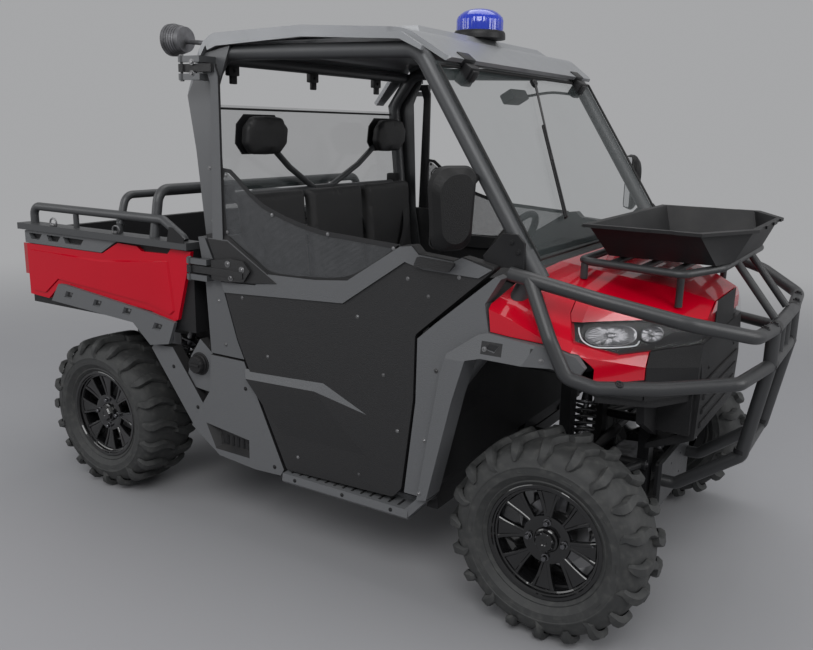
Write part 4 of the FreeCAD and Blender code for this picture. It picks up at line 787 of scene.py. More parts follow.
# %% [markdown]
# ## Rims
# A rim keeps the CAD barrel's sizes. Its face has eight spokes that open into two legs towards the
# lip, four wheel nuts in pockets, and a cap with flats. A row of a leg is: radius, distance from
# the spoke's middle, width, height of its crest over the face and thickness. A row of the web
# between two legs is: radius, half its width and height.

# %%
SPOKES = 8
NUTS = 4
LEG = mm((62, 5, 12, -4, 20), (90, 10.5, 11, -3, 18), (120, 17.5, 11, 0, 17),
         (150, 26.5, 12, 4, 17), (168.5, 32.5, 15, 6, 18))
LEG_SECTION = ((-0.5, -1), (-0.5, -0.15), (-0.28, 0), (0.28, 0), (0.5, -0.15), (0.5, -1))
WEB = mm((62, 5, -5.5), (90, 9, -5.5), (120, 15, -3.5), (150, 23, -0.5), (166, 28, 2))
WEB_SECTION = ((-1, -0.010), (1, -0.010), (1, -0.001), (0.35, 0), (-0.35, 0), (-1, -0.001))


def barrel(half):
    inner = mm((195, 0), (195, 7), (178, 9), (178, 30), (168, 50), up=-half)
    outer = mm((168, -50), (178, -30), (178, -9), (193.5, -7), (195, -5), (195, -1.5),
               (192.5, 0), (183, -1), (180, -6), (176, -8), (174.5, -18), (170, -21), (164, -34),
               (160, -55), up=half)
    return inner + outer + mm((161, 50), (165, 0), up=-half)


def spoke(shape, where, face, turn):
    """Two legs and the web between them, turned to their place round the hub."""
    spin = Matrix.Rotation(turn, 3, "Z")
    for leg in PAIR:
        rings = []
        for r, offset, width, top, thick in LEG:
            ring = []
            for u, v in LEG_SECTION:
                across = leg * offset + u * width
                reach = math.sqrt(r * r - across * across)
                ring.append(where @ (spin @ Vector((reach, across, face + top + v * thick))))
            rings.append(ring)
        shape.skin(rings)
    shape.skin([[where @ (spin @ Vector((r, s * w, face + drop + h))) for s, h in WEB_SECTION]
                for r, w, drop in WEB])


def rim(name, body, side):
    low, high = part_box(name)
    tread_low, tread_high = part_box(name.replace("rim", "tyre"))
    half = half_width(name.replace("rim", "tyre")) - RIM_IN
    centre = (low + high) / 2
    centre.y = (tread_low.y + tread_high.y) / 2
    out = (0, side, 0)
    where = stand(centre, out)
    face = half - FACE_IN
    shape = Shape().lathe(where, barrel(half), 96, loop=True)
    shape.lathe(where, mm((32.5, -47), (60, -47), (66, -30), (80, -24), (83.5, -12), (81, -4),
                          (70, -2), (50, -6), (43, -6), (42, -10), (32.5, -10), up=face),
                64, loop=True)
    for turn in circle(SPOKES):
        spoke(shape, where, face, turn)
    shape.lathe(where, mm((0, -6), (36, -6), (34, 16), (29, 21.5), (12, 21.5), (9, 19), (0, 19),
                          up=face), 8, start=0.2)
    shape.lathe(where, mm((0, -6), (41, -6), (40, 3), (36, 6), (0, 6), up=face), 48)
    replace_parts(shape.piece("cast_" + name, "rim_black", body, angle=30), name)
    nuts = Shape()
    for turn in circle(NUTS):
        nuts.lathe(stand(around(where, 0.0605, turn, face - 0.0045), out),
                   mm((0, 0), (12.5, 0), (12.5, 4), (9.8, 5), (9.5, 16), (7.5, 18.5), (0, 18.5)),
                   18)
    for turn in circle(SPOKES, math.pi / SPOKES):
        nuts.bolt(stand(around(where, 0.0285, turn, face + 0.0185), out), 0.0022)
    nuts.lathe(stand(where @ Vector((0.158, 0.03, face - 0.010)), out),
               mm((0, 0), (5, 0), (4.5, 14), (3.5, 16), (3.5, 24), (0, 25)), 12)
    nuts.piece("nuts_" + name, "chrome", body)


for corner, side in CORNERS:
    rim("rim_" + corner, "wheel_" + corner, side)
print("rims made")

# %% [markdown]
# ## Seats
# The CAD model holds the room for three seats. Each cushion, back and headrest is made here as a
# padded form: a rounded block, blown up a little by a short cloth run, with channels sewn into it
# afterwards. Each shape is simulated once and its twin is a mirror image.

# %%
VOXEL, QUICK_VOXEL = 0.006, 0.012
SEAM_DEEP, SEAM_WIDE = 0.007, 0.006
GROOVE_DEEP, GROOVE_WIDE = 0.004, 0.022


def cushion_block(width, depth, height, crown, round_off, drop, clip):
    """A closed rounded block with a crowned top, its sides pulled in between the corners."""
    bm = bmesh.new()
    verts = bmesh.ops.create_cube(bm, size=1.0)["verts"]
    bmesh.ops.scale(bm, vec=(depth, width, height), verts=verts)
    if clip:
        upright = [e for e in bm.edges if abs((e.verts[0].co - e.verts[1].co).normalized().z) > 0.9]
        bmesh.ops.bevel(bm, geom=upright, offset=clip, segments=1, affect="EDGES")
    bmesh.ops.bevel(bm, geom=bm.edges[:], offset=round_off, segments=3, affect="EDGES",
                    profile=0.5)
    bmesh.ops.subdivide_edges(bm, edges=bm.edges[:], cuts=3, use_grid_fill=True)
    for v in bm.verts:
        u, w = 2 * v.co.x / depth, 2 * v.co.y / width
        dome = max(0.0, 1 - u * u) * max(0.0, 1 - w * w)
        if v.co.z > 0:
            v.co.z += crown * dome
        v.co.y *= 1 - 0.02 * max(0.0, 1 - u * u)
        v.co.z -= drop * u * abs(u)
    return bm


def baked(obj):
    """The object's mesh as its modifiers leave it. They are then taken off."""
    deps = bpy.context.evaluated_depsgraph_get()
    mesh = bpy.data.meshes.new_from_object(obj.evaluated_get(deps))
    obj.modifiers.clear()
    return mesh


def remesh(obj, voxel):
    skin = obj.modifiers.new("skin", "REMESH")
    skin.mode, skin.voxel_size = "VOXEL", voxel
    obj.data = baked(obj)


def inflate(obj, pressure=4.0, frames=16, cap=0.006):
    """Blow a closed form up with cloth, holding every point within the cap of where it began."""
    began = [v.co.copy() for v in obj.data.vertices]
    cloth = obj.modifiers.new("cloth", "CLOTH")
    settings = cloth.settings
    settings.use_pressure = True
    settings.uniform_pressure_force = pressure
    settings.effector_weights.gravity = 0
    settings.tension_stiffness = settings.compression_stiffness = 25
    settings.bending_stiffness = 4
    cloth.point_cache.frame_start, cloth.point_cache.frame_end = 1, frames
    for step in range(1, frames + 1):
        bpy.context.scene.frame_set(step)
    obj.data = baked(obj)
    for v, here in zip(obj.data.vertices, began):
        move = v.co - here
        if move.length > cap:
            v.co = here + move * (cap / move.length)
    bpy.context.scene.frame_set(1)


def padded(obj):
    """The vinyl and the body."""
    dress(obj, "seat_vinyl", "chassis", angle=60)
    return obj


def pad(name, spot, size, crown, round_off, tilt, drop=0.0, seams=(), inner=0.86, clip=0.0):
    """A padded piece: its block, its cloth run, its sewn channels and a groove along its edge."""
    width, depth, height = size
    bm = cushion_block(width - 0.014, depth - 0.014, height - 0.012, crown, round_off, drop, clip)
    obj = add(name, mesh_of(bm, name))
    remesh(obj, VOXEL)
    inflate(obj)
    for v in obj.data.vertices:
        if v.co.z < 0:
            continue
        for place in seams:
            v.co.z -= SEAM_DEEP * math.exp(-((v.co.x - place) / SEAM_WIDE) ** 2)
        edge = max(abs(v.co.x) / (depth / 2), abs(v.co.y) / (width / 2)) - inner
        v.co.z -= GROOVE_DEEP * math.exp(-(edge / GROOVE_WIDE) ** 2)
    obj.data.transform(Matrix.Translation(spot) @ Matrix.Rotation(math.radians(tilt), 4, "Y"))
    return padded(obj)


def twin(obj, name):
    """The same piece on the vehicle's other side."""
    mesh = obj.data.copy()
    mesh.transform(Matrix.Scale(-1, 4, LEFT))
    mesh.flip_normals()
    return padded(add(name, mesh))


print("seat kit ready")

# %%
BASE_SHAPE = (0.006, 0.026, -3.8, 0.004, (0.06, -0.08))
BACK_SHAPE = (0.012, 0.020, -95.0, 0.0, (0.10, -0.06, -0.20))
outer_pads = {}
for part, node, x, z, size, form in (
        ("seat_base", "seat_cushions", -0.0665, 0.6475, (0.44, 0.095), BASE_SHAPE),
        ("seat_back", "seat_backs", -0.3075, 1.025, (0.675, 0.058), BACK_SHAPE)):
    outer_pads[part] = pad(part + "_right", M(x, -0.4175, z), (0.405, *size), *form)
    pad(part + "_middle", M(x, 0.0, z), (0.41, *size), *form)
    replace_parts(outer_pads[part], node)
outer_pads["headrest"] = pad("headrest_right", M(-0.3355, -0.45, 1.572), (0.262, 0.158, 0.052),
                             0.004, 0.012, -83.0, inner=0.62, clip=0.042)
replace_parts(outer_pads["headrest"], "headrests")
for part, made in outer_pads.items():
    twin(made, part + "_left")
print("seats done")

# %% [markdown]
# Each outer headrest sits in a moulded shell. A belt runs over each seat back from the cage to a
# buckle beside the cushion.

# %%
SHELL_TILT = (-1, 0, 0.12)
shells = Shape().plate(stand(M(-0.372, -0.45, 1.575), SHELL_TILT),
                       mm((-85, -77), (85, -77), (127, -35), (128, 40), (90, 78), (-90, 78),
                          (-128, 40), (-127, -35)), 0.006, 0.002)
for dx in (-0.08, 0.08):
    for dz in (-0.045, 0.045):
        shells.bolt(stand(M(-0.378, -0.45 + dx, 1.575 + dz), SHELL_TILT), 0.005)
shells.mirrored().piece("headrest_shells", "black_plastic")

BELT_WIDE, BELT_THICK = 0.046, 0.0016
SHOULDER = mm((-400, 600, 1360), (-345, 575, 1300), (-275, 520, 1160), (-262, 450, 1020),
              (-235, 330, 860), (-205, 240, 735), (-190, 213, 690))
LAP = mm((-220, 632, 660), (-190, 620, 720), (-160, 500, 718), (-160, 360, 716),
         (-180, 250, 712), (-190, 213, 700))


def strap(name, path, side):
    """A flat belt along a path, its width across side."""
    wide = Vector(side).normalized() * (BELT_WIDE / 2)

    def cross(ahead):
        flat = wide - ahead * wide.dot(ahead)
        return flat, ahead.cross(flat).normalized() * (BELT_THICK / 2)
    Shape().ribbon(smooth_path(path), cross).piece(name, "belt", angle=30)


for side, name in SIDES:
    strap("belt_" + name, [M(x, side * y, z) for x, y, z in SHOULDER], (0, 1, 0.15))
    strap("lap_belt_" + name, [M(x, side * y, z) for x, y, z in LAP], (1, 0, 0.1))
buckles = Shape()
for y in (-0.21, 0.21):
    buckles.box(M(-0.225, y - 0.003, 0.70), M(-0.165, y + 0.003 + 0.012, 0.745), 0.004)
    buckles.box(M(-0.205, y - 0.001, 0.60), M(-0.185, y + 0.006, 0.702), 0.002)
for y in (-0.625, 0.575):
    buckles.box(M(-0.432, y, 1.335), M(-0.385, y + 0.05, 1.385), 0.008)
buckles.piece("belt_buckles", "black_plastic")
print("belts done")

# %% [markdown]
# ## Doors
# The door's skin is CAD. Its screws, hinge bolts, pull, net and the net's sewn edge are not.
# Places are (x, z) on the door.

# %%
DOOR_SCREWS = [(0.53, 1.135), (0.61, 1.085), (-0.08, 0.77), (0.44, 0.79), (0.06, 0.40),
               (0.34, 0.40), (0.72, 1.16), (-0.20, 0.98), (0.33, 0.98), (0.50, 0.60)]
HINGE_BOLTS = [(-0.25, 1.105), (-0.18, 1.09), (-0.235, 1.055)]
NET_TOP = [(-0.282, 1.20), (-0.282, 1.45), (-0.10, 1.332), (0.12, 1.264), (0.30, 1.247),
           (0.494, 1.235)]
NET_FOOT = [(0.494, 1.235), (0.40, 1.168), (0.28, 1.106), (0.11, 1.086), (-0.06, 1.086),
            (-0.15, 1.135), (-0.282, 1.20)]
NET_STUDS = [(-0.27, 1.43), (-0.27, 1.22), (0.47, 1.228), (-0.05, 1.30), (0.20, 1.252)]
DOOR_PULL = [(0.16, 0.705, 0.93), (0.18, 0.672, 0.934), (0.32, 0.672, 0.946), (0.34, 0.705, 0.95)]
NET_OUT = 0.7435
NET_LONG, NET_HIGH = 0.776, 0.37
NET_COLUMNS, NET_ROWS = 26, 10


def level(line, x):
    """The height of an edge at x."""
    pts = sorted(line)
    for (xa, za), (xb, zb) in zip(pts, pts[1:]):
        if xa <= x <= xb and xb > xa:
            return za + (zb - za) * (x - xa) / (xb - xa)
    return pts[0][1] if x < pts[0][0] else pts[-1][1]


def net(side, name, body):
    """The net with its hem and its studs."""
    y = side * NET_OUT
    hem = Shape()
    for line in (NET_TOP, NET_FOOT):
        hem.ribbon(smooth_path([M(x, y, z) for x, z in line], 4), lambda ahead: (
            Vector(LEFT).cross(ahead).normalized() * 0.008, Vector((0, side, 0)) * 0.002))
    hem_piece = hem.piece("net_hem_" + name, "belt", body)
    rows = []
    for i in range(NET_COLUMNS + 1):
        x = NET_TOP[0][0] + NET_LONG * i / NET_COLUMNS
        top_z, low_z = level(NET_TOP[1:], x), level(NET_FOOT, x)
        bulge = math.sin(math.pi * min(1, i / NET_COLUMNS * 1.1)) * 0.002
        rows.append([M(x, y - side * math.sin(math.pi * t) * bulge, low_z + (top_z - low_z) * t)
                     for t in (k / NET_ROWS for k in range(NET_ROWS + 1))])
    sheet = Shape().skin(rows, closed=False).piece("door_mesh_" + name, "net_grey", body, angle=80)
    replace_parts(sheet, "door_net_" + name)
    "door_" + name
    studs = Shape()
    for x, z in NET_STUDS:
        studs.lathe(stand(M(x, y + side * 0.002, z), (0, side, 0)),
                    mm((0, 0), (7, 0), (6.5, 1.8), (3, 2.8), (0, 2.8)), 16)
    studs.piece("net_studs_" + name, "screw", body)


for side, name in SIDES:
    body = "door_" + name
    screws = Shape().side_bolts(body, DOOR_SCREWS, 0.0045, side=side)
    screws.side_bolts(body, HINGE_BOLTS, 0.0085, side=side)
    screws.piece("door_screws_" + name, "screw", body)
    net(side, name, body)
    Shape().tube(smooth_path([M(x, side * y, z) for x, y, z in DOOR_PULL]), 0.010, 10).piece(
        "door_pull_" + name, "black_plastic", body)
print("doors done")

# %% [markdown]
# ## Front: lamps, clamps and liners
# The lamps' clear covers are CAD. Under each lie two reflectors and a light strip, thin enough to
# fit between the cover and the black liner behind it. `sight` gives the straight line from the
# camera through a place in the photograph, so that small things land where it shows them. A row
# of the bowl is: radius in thousandths of its own, depth under the cover and depth of the cuts.

# %%
BOWL = mm((970, 9.5, 0), (1000, 3.5, 0), (940, 3, 0), (880, 5, 1.2), (620, 7.8, 1.4),
          (360, 8.8, 0.8), (200, 8, 0), (130, 6, 0), (30, 5.6, 0))


def sight(u, v):
    """The line from the camera through a place in the photograph."""
    ray = look * FOCAL + level_right * (u - PHOTO_WIDE / 2) - level_up * (v - PHOTO_HIGH / 2)
    return camera_spot, ray.normalized()


def seat_on(node, start, way, out=None, along=ABOVE, lift=0.0):
    """A place where a line meets a node, looking out, or else the way that the face looks."""
    spot, normal = surface(node, start, way)
    return stand(spot + normal * lift, out or normal, along)


def crystal(shape, u, v, wide, high, sectors, lean):
    """A faceted bowl with a bright bulb. Its rim and its facets follow the cover's shape."""
    rings = []
    for r, deep, cut in BOWL:
        ring = []
        for k, t in enumerate(circle(sectors * 4)):
            du, dv = (half * r * math.copysign(abs(share) ** 0.8, share)
                      for half, share in ((wide, math.cos(t)), (high, math.sin(t))))
            start, ray = sight(u + du, v + dv + lean * du)
            deeper = cut if (k // 2) % 2 else 0.0
            ring.append(surface("headlamps", start, ray)[0] + ray * (deep + deeper))
        rings.append(ring)
    shape.skin(rings)


bowls = Shape()
crystal(bowls, 611, 335.5, 26, 10.5, 14, -0.02)
crystal(bowls, 652, 334.5, 11.5, 8.0, 9, -0.05)
bowls.mirrored().piece("lamp_reflectors", "chrome", angle=12)
STRIP = ((579, 327), (580, 333), (584, 341), (594, 346.5), (607, 347.6), (622, 347.2),
         (636, 345.5), (640, 341))
path = [seat_on("headlamps", *sight(u, v), lift=-0.0035).translation for u, v in STRIP]
Shape().tube(smooth_path(path), 0.0022).mirrored().piece("lamp_strips", "lamp_glow")
print("lamps done")

# %% [markdown]
# The guard has clamps, plugs and a bolted gusset at each pillar's foot.

# %%
BAR_RADIUS, BAR_X = 0.0232, 1.5765
guard = Shape()
where = seat_on("bull_bar", *sight(619.4, 383.9))
guard.bolt(where, 0.0075)
guard.lathe(moved(where, -0.012), mm((0, 0), (14, 0), (14, 11), (12, 13.5), (0, 13.5)), 20)
for u, v in ((797, 300), (766, 328)):
    guard.bolt(seat_on("bull_bar", *sight(u, v), lift=-0.001), 0.0095, "hex")
guard.mirrored()
for side in PAIR:
    for z in (0.89, 1.012):
        guard.tube([M(BAR_X, side * y, z) for y in (0.173, 0.217)], BAR_RADIUS, 18)
    guard.tube([M(1.52, side * 0.19, 0.585), M(1.5175, side * 0.19, 0.57)], 0.0245, 18)
guard.piece("guard_clamps", "frame_black")
where = stand(M(0.868, -0.7085, 1.252), RIGHT)
gussets = Shape().plate(where, mm((55, -50), (-75, -50), (-85, -20), (-20, 55), (30, 55),
                                  (55, 30)), 0.008, 0.0015)
for u, v in ((0.012, 0.030), (0.035, 0.0)):
    gussets.bolt(moved(where, 0.008, u, v), 0.0065, "hex")
gussets.mirrored().piece("pillar_gussets", "frame_black")
flare_screws = Shape()
for u, v in ((484.2, 349.2), (541.0, 361.3), (436.0, 371.0), (424.0, 441.0), (418.5, 494.0)):
    flare_screws.bolt(seat_on("front_arch_flares", *sight(u, v)), 0.0055)
flare_screws.mirrored().piece("flare_screws", "screw")
print("guard done")

# %% [markdown]
# A thin inner arch over each front wheel closes the view into the cabin's front wall. Slats fill
# the mouth between the lamps.

# %%
ARCH = ((0.612, 0.40), (0.628, 0.52), (0.648, 0.70), (0.672, 0.80), (0.71, 0.865), (0.76, 0.892),
        (0.88, 0.90), (1.00, 0.897), (1.06, 0.888))
ARCH_ACROSS = ((-0.6965, 0), (-0.60, 0.004), (-0.50, 0.004), (-0.42, 0))
ARCH_THICK = Vector((-0.004, 0, 0.006))
rows = [[M(x, y, z + rise) for y, rise in ARCH_ACROSS] for x, z in ARCH]
arch = Shape().skin([row + [p + ARCH_THICK for p in reversed(row)] for row in rows])
arch.mirrored().piece("inner_arches", "black_plastic")
mouth = Shape()
for z in (0.66, 0.71, 0.76, 0.81):
    mouth.plate(seat_on("front_fascia", M(1.60, 0.0, z), BACK, AHEAD),
                mm((-260, -9), (260, -9), (255, 9), (-255, 9)), 0.007, 0.003)
for y in (-0.2, 0.2):
    mouth.bolt(seat_on("front_fascia", M(1.60, y, 0.85), BACK, AHEAD), 0.005)
mouth.piece("grille_slats", "black_plastic")
print("front done")

# %% [markdown]
# ## Roof and windows
# Clamps hold the windscreen under the roof's front edge. Catches hang from the cage's rear cross
# tube, at the head of the opening behind the seats. A row of clamps is: two corners, rounding and
# tilt in degrees.

# %%
SCREEN_OUT = (0.84, 0, 0.54)
CLAMP = (((-0.035, -0.040, -0.012), (0.006, 0.040, 0.016), 0.004, 38),
         ((-0.020, -0.032, -0.082), (0.016, 0.032, -0.012), 0.006, 33),
         ((0.006, -0.020, -0.070), (0.026, 0.020, -0.030), 0.005, 33))
clamps = Shape()
for y in (-0.50, 0.50):
    base = M(0.592, y, 1.835)
    for low, high, edge, tilt in CLAMP:
        clamps.box(low, high, edge, math.radians(tilt), base)
    clamps.bolt(stand(base + Vector((0.012, 0, -0.044)), SCREEN_OUT), 0.006, "hex")
clamps.piece("screen_clamps", "frame_black")

catches = Shape()
bar = M(-0.376, 0, ROOF_TOP - 0.100)
for u, v in ((233, 80), (313, 78), (376, 96)):
    start, ray = sight(u, v)
    bar.y = (start + ray * ((bar.x - start.x) / ray.x)).y
    catches.box((-0.014, -0.028, -0.058), (0.010, 0.028, -0.016), 0.005, at=bar)
    catches.box((-0.006, -0.016, -0.088), (0.008, 0.016, -0.054), 0.004, at=bar)
    catches.bolt(stand(bar + Vector((0.010, 0, -0.040)), AHEAD), 0.006, "hex")
catches.piece("window_catches", "frame_black")
print("clamps done")

# %% [markdown]
# Mirror glass in a thin rubber edge faces the driver, and the panes have rubber edges too.

# %%
MIRROR = mm((-40, -118), (40, -118), (52, -106), (52, 106), (40, 118), (-40, 118), (-52, 106),
            (-52, -106))
glass, rims = Shape(), Shape()
low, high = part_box("mirrors")
for side in PAIR:
    start = Vector((low.x - 0.3, side * (high.y - 0.068), 1.385))
    where = seat_on("mirrors", start, AHEAD, lift=-0.0006)
    glass.plate(where, [(u * 0.96, v * 0.975) for u, v in MIRROR], 0.0016, 0.0004)
    edge = [where @ Vector((u, v, 0.0012)) for u, v in MIRROR]
    rims.tube(round_trip(edge, 3), 0.0022, 6, loop=True, side=where.to_3x3().col[2])
glass.piece("mirror_glass", "mirror_glass")
rims.piece("mirror_edges", "dark_rubber")

EDGE_IN = 0.014
low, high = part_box("rear_window")
corners = [Vector((0.0, y * (high.y - EDGE_IN), z)) for y, z in (
    (-1, low.z + EDGE_IN), (1, low.z + EDGE_IN), (1, high.z - EDGE_IN), (-1, high.z - EDGE_IN))]
path = [surface("rear_window", place, BACK)[0] for place in round_trip(corners, 8)]
Shape().tube(path, 0.0045, loop=True, side=AHEAD).piece("rear_window_edge", "dark_rubber")

SCREEN_FOOT, SCREEN_HEAD = (0.935, 1.20), (0.506, ROOF_TOP - 0.092)
SCREEN_LIFT = 0.0333
run = Vector(SCREEN_HEAD) - Vector(SCREEN_FOOT)
lean = run.normalized()


def on_screen(t, y, off=0.0):
    """A place on the outside of the windscreen, t from its foot to its head."""
    lift = SCREEN_LIFT + off
    return M(SCREEN_FOOT[0] + run.x * t + lean.y * lift, y,
             SCREEN_FOOT[1] + run.y * t - lean.x * lift)


corners = [on_screen(t, y) for t, y in ((0.02, -0.668), (0.90, -0.668), (0.90, 0.668),
                                        (0.02, 0.668))]
seal = Shape().tube(round_trip(corners, 6), 0.0052, loop=True, side=(1, 0, 0.6))
seal.piece("screen_seal", "dark_rubber")
print("edges done")

# %% [markdown]
# The wiper sweeps from the windscreen's head, with its motor and a lead inside the cab.

# %%
wiper = Shape()
pivot, tip = on_screen(0.86, 0.02, 0.012), on_screen(0.30, -0.28, 0.014)
wiper.tube([pivot, pivot.lerp(tip, 0.12), pivot.lerp(tip, 0.75)], [0.006, 0.005, 0.003],
           squash=0.6)
wiper.lathe(stand(on_screen(0.86, 0.02), SCREEN_OUT),
            mm((0, 0), (16, 0), (16, 12), (10, 18), (0, 19)))
ends = [on_screen(0.16, -0.34, 0.008), on_screen(0.62, -0.115, 0.008)]
wiper.tube([ends[0], ends[0].lerp(ends[1], 0.5), ends[1]], 0.0045, squash=1.4)
wiper.tube([end + Vector((0.006, 0, 0.004)) for end in ends], 0.0028)
wiper.piece("wiper", "frame_black")
inside = on_screen(0.84, 0.02, -0.060)
motor = Shape().box((-0.055, -0.075, -0.022), (0.0, 0.065, 0.018), 0.008, math.radians(-30), inside)
lead = mm((-30, 60, 0), (-50, 180, 10), (-30, 360, 30), (-5, 520, 30))
motor.tube(smooth_path([inside + Vector(p) for p in lead]), 0.0055)
motor.piece("wiper_motor", "black_plastic")
print("wiper done")

# %% [markdown]
# The beacon has a black foot, a ribbed dome and a bright core. The work lamp has a guard of bars,
# cooling fins and a lens.

# %%
low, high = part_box("beacon")
middle = (low + high) / 2
middle.z = low.z + 0.0003
where = stand(middle, ABOVE, AHEAD)
Shape().lathe(where, mm((0, 0), (100, 0), (100, 12), (98.5, 22.5), (94.5, 28.5), (89, 28.5),
                        (89, 24), (0, 24)), 72).piece("beacon_foot", "frame_black")
dome = [[around(where, r + (0.0009 * math.cos(k * math.pi / 2) if 0.03 < h < 0.08 else 0), t, h)
         for k, t in enumerate(circle(144))]
        for r, h in mm((88.5, 24), (89.5, 34), (89.5, 68), (86, 79), (78, 89), (66, 98.5),
                       (50, 105.5), (30, 110), (0.2, 111.7))]
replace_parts(Shape().skin(dome).piece("beacon_dome", "lens_blue", angle=50), "beacon")
core = Shape()
for t in circle(8):
    at = Vector((middle.x + 0.05 * math.cos(t), middle.y + 0.05 * math.sin(t), low.z))
    core.box((-0.012, -0.012, 0.026), (0.012, 0.012, 0.062), at=at)
core.piece("beacon_core", "chrome")
print("beacon done")

# %%
LAMP_RADIUS = 0.054
low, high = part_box("work_lamp")
where = stand(Vector((low.x, -0.56, (low.z + high.z) / 2)), BACK)
lamp = Shape().lathe(moved(where, -0.004), mm((62, 0), (62, 3), (56, 4), (54, 1.5), (54, -4),
                                              (60, -4)), 48, loop=True)
for k in range(7):
    u = -0.045 + 0.015 * k
    reach = math.sqrt(LAMP_RADIUS ** 2 - u ** 2)
    lamp.tube([where @ Vector((u, v, 0)) for v in (-reach, reach)], 0.0014, 6)
lamp.piece("work_lamp_guard", "frame_black")
fins = Shape()
for k in range(5):
    fin = moved(where, -0.018 - 0.011 * k)
    probe = fin @ Vector((0, 0.2, 0))
    reach = (surface("work_lamp", probe, fin.translation - probe)[0] - fin.translation).length
    fins.lathe(fin, [(reach + r, h) for r, h in mm((-4, -1.8), (0.5, -1.2), (0.5, 1.2), (-4, 1.8))],
               40, loop=True)
fins.piece("work_lamp_fins", "frame_black")
lens = Shape().lathe(moved(where, -0.004), mm((0, 0.6), (20, 0.6), (30, 1.6), (45, 0.6),
                                              (53, 1.6), (53, 0)), 48)
lens.piece("work_lamp_lens", "lamp_glow")
print("roof done")

# %% [markdown]
# ## Sides
# The door's rear post carries hinge bolts. Behind each door are a fuel cap on the right, the
# step's tread and screws, and the sill is ribbed.

# %%
hinges = Shape()
hinges.side_bolts("roll_cage", [(-0.388, 1.79), (-0.388, 1.83)], 0.0075, "hex")
hinges.side_bolts("roll_cage", [(-0.40, 1.45), (-0.39, 1.25), (-0.33, 0.95), (-0.30, 0.78)], 0.0055)
for z in (1.07, 1.81):
    for end in PAIR:
        hinges.lathe(stand(M(-0.445, -0.775, z + end * 0.0425), (0, 0, end), AHEAD),
                     mm((0, 0), (8.5, 0), (8.5, 3), (6, 4.5), (0, 4.5)), 16)
hinges.mirrored().piece("hinge_bolts", "screw")

where = seat_on("quarter_panels", M(-0.455, -1.0, 0.675), LEFT, RIGHT)
cap = Shape().lathe(where, mm((0, 0), (47, 0), (47, 3), (43, 5), (40.5, 5), (40.5, 10), (38, 13),
                              (0, 13)), 48)
cap.skin([[around(where, r * (1 - 0.045 * (0.5 + 0.5 * math.cos(12 * t)) * (0.012 < h < 0.033)),
                  t, h) for t in circle(96)]
          for r, h in mm((36, 11), (37.5, 13), (36.5, 28), (33, 32.5), (12, 34), (0.2, 34))])
cap.plate(moved(where, 0.0335), rect(0.026, 0.005), 0.006, 0.0015)
cap.piece("fuel_cap", "black_plastic")

tread = Shape()
for k in range(6):
    tread.plate(seat_on("quarter_panels", M(-0.36 + 0.028 * k, -1.0, 0.372), LEFT),
                rect(0.006, 0.02), 0.003)
tread.side_bolts("quarter_panels", [(-0.60, 0.64), (-0.47, 0.49), (-0.20, 0.62), (-0.06, 0.33)],
                 0.0055)
tread.mirrored().piece("step_treads", "black_plastic")
sills = Shape()
for k in range(13):
    sills.plate(seat_on("side_sills", M(0.03 + 0.04 * k, -0.73, 0.5), BELOW, along=AHEAD),
                rect(0.022, 0.004), 0.0025, 0.0008)
sills.side_bolts("side_sills", [(0.06, 0.312), (0.28, 0.312), (0.49, 0.312)], 0.005)
sills.mirrored().piece("sill_ribs", "black_plastic")
print("sides done")

# %% [markdown]
# ## Cargo bed
# Rings, gussets, a latch and screws. The bed's floor and walls stay CAD.

# %%
rings = Shape()
for x in (-0.89, -1.30):
    rings.tube([M(x + 0.021 * math.cos(t), -0.751, 1.178 + 0.018 * math.sin(t))
                for t in circle(24)], 0.0038, loop=True, side=LEFT)
    rings.box((-0.014, -0.026, 1.1635), (0.014, -0.006, 1.172), at=M(x, -0.735, 0))
rings.mirrored().piece("tie_down_rings", "screw", "bed")
screws = Shape().side_bolts("bed_arch_trims", [(-1.205, 0.871), (-1.018, 0.858), (-0.83, 0.848),
                                               (-0.65, 0.806)], 0.0045)
screws.mirrored().piece("bed_screws", "screw", "bed")
plates = Shape().plate(stand(M(-0.5225, -0.7725, 1.17), RIGHT),
                       mm((-45, -8), (50, -8), (50, 12), (-10, 50), (-30, 50)), 0.0025, 0.0008)
plates.mirrored().piece("bed_gussets", "frame_black", "bed")
low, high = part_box("tailgate")
gate = Shape().plate(stand(Vector((low.x + 0.0015, 0, high.z - 0.075)), BACK),
                     mm((-110, -28), (110, -28), (120, 0), (110, 28), (-110, 28), (-120, 0)),
                     0.0015, 0.0005)
gate.box((0.0002, -0.085, -0.083), (0.006, 0.085, -0.066), 0.002, at=(low.x, 0, high.z))
gate.piece("gate_latch", "black_plastic", "tailgate")
ribs = Shape()
low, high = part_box("tail_lamps")
for side in PAIR:
    for k in range(5):
        start = Vector((low.x - 0.2, side * (high.y - 0.030),
                        low.z + 0.018 + k * (high.z - low.z - 0.036) / 4))
        spot = surface("tail_lamps", start, AHEAD)[0] + Vector((0.0012, 0, 0))
        ribs.plate(stand(spot, BACK), rect(0.018, 0.004), 0.0012, 0.0004)
ribs.piece("tail_lamp_ribs", "lens_red", "bed")
print("bed done")

# %% [markdown]
# ## Underneath
# Springs take the place of the plain cylinders that hold their room in CAD, each with a damper
# through its middle. A row of the damper is: radius, share of the length and what is added to it.

# %%
DAMPER = mm((0, 0, 0), (16, 0, 0), (18, 0, 10), (18, 140, 0), (41, 140, 0), (41, 140, 6),
            (24, 140, 9), (24, 550, 0), (22, 555, 0), (10, 557, 0), (10, 840, -2), (41, 840, 0),
            (41, 840, 7), (20, 870, 0), (16, 990, 0), (0, 1000, 0))
COIL_RADIUS, WIRE, TURNS, COIL_STEPS = 0.038, 0.0058, 7.5, 16


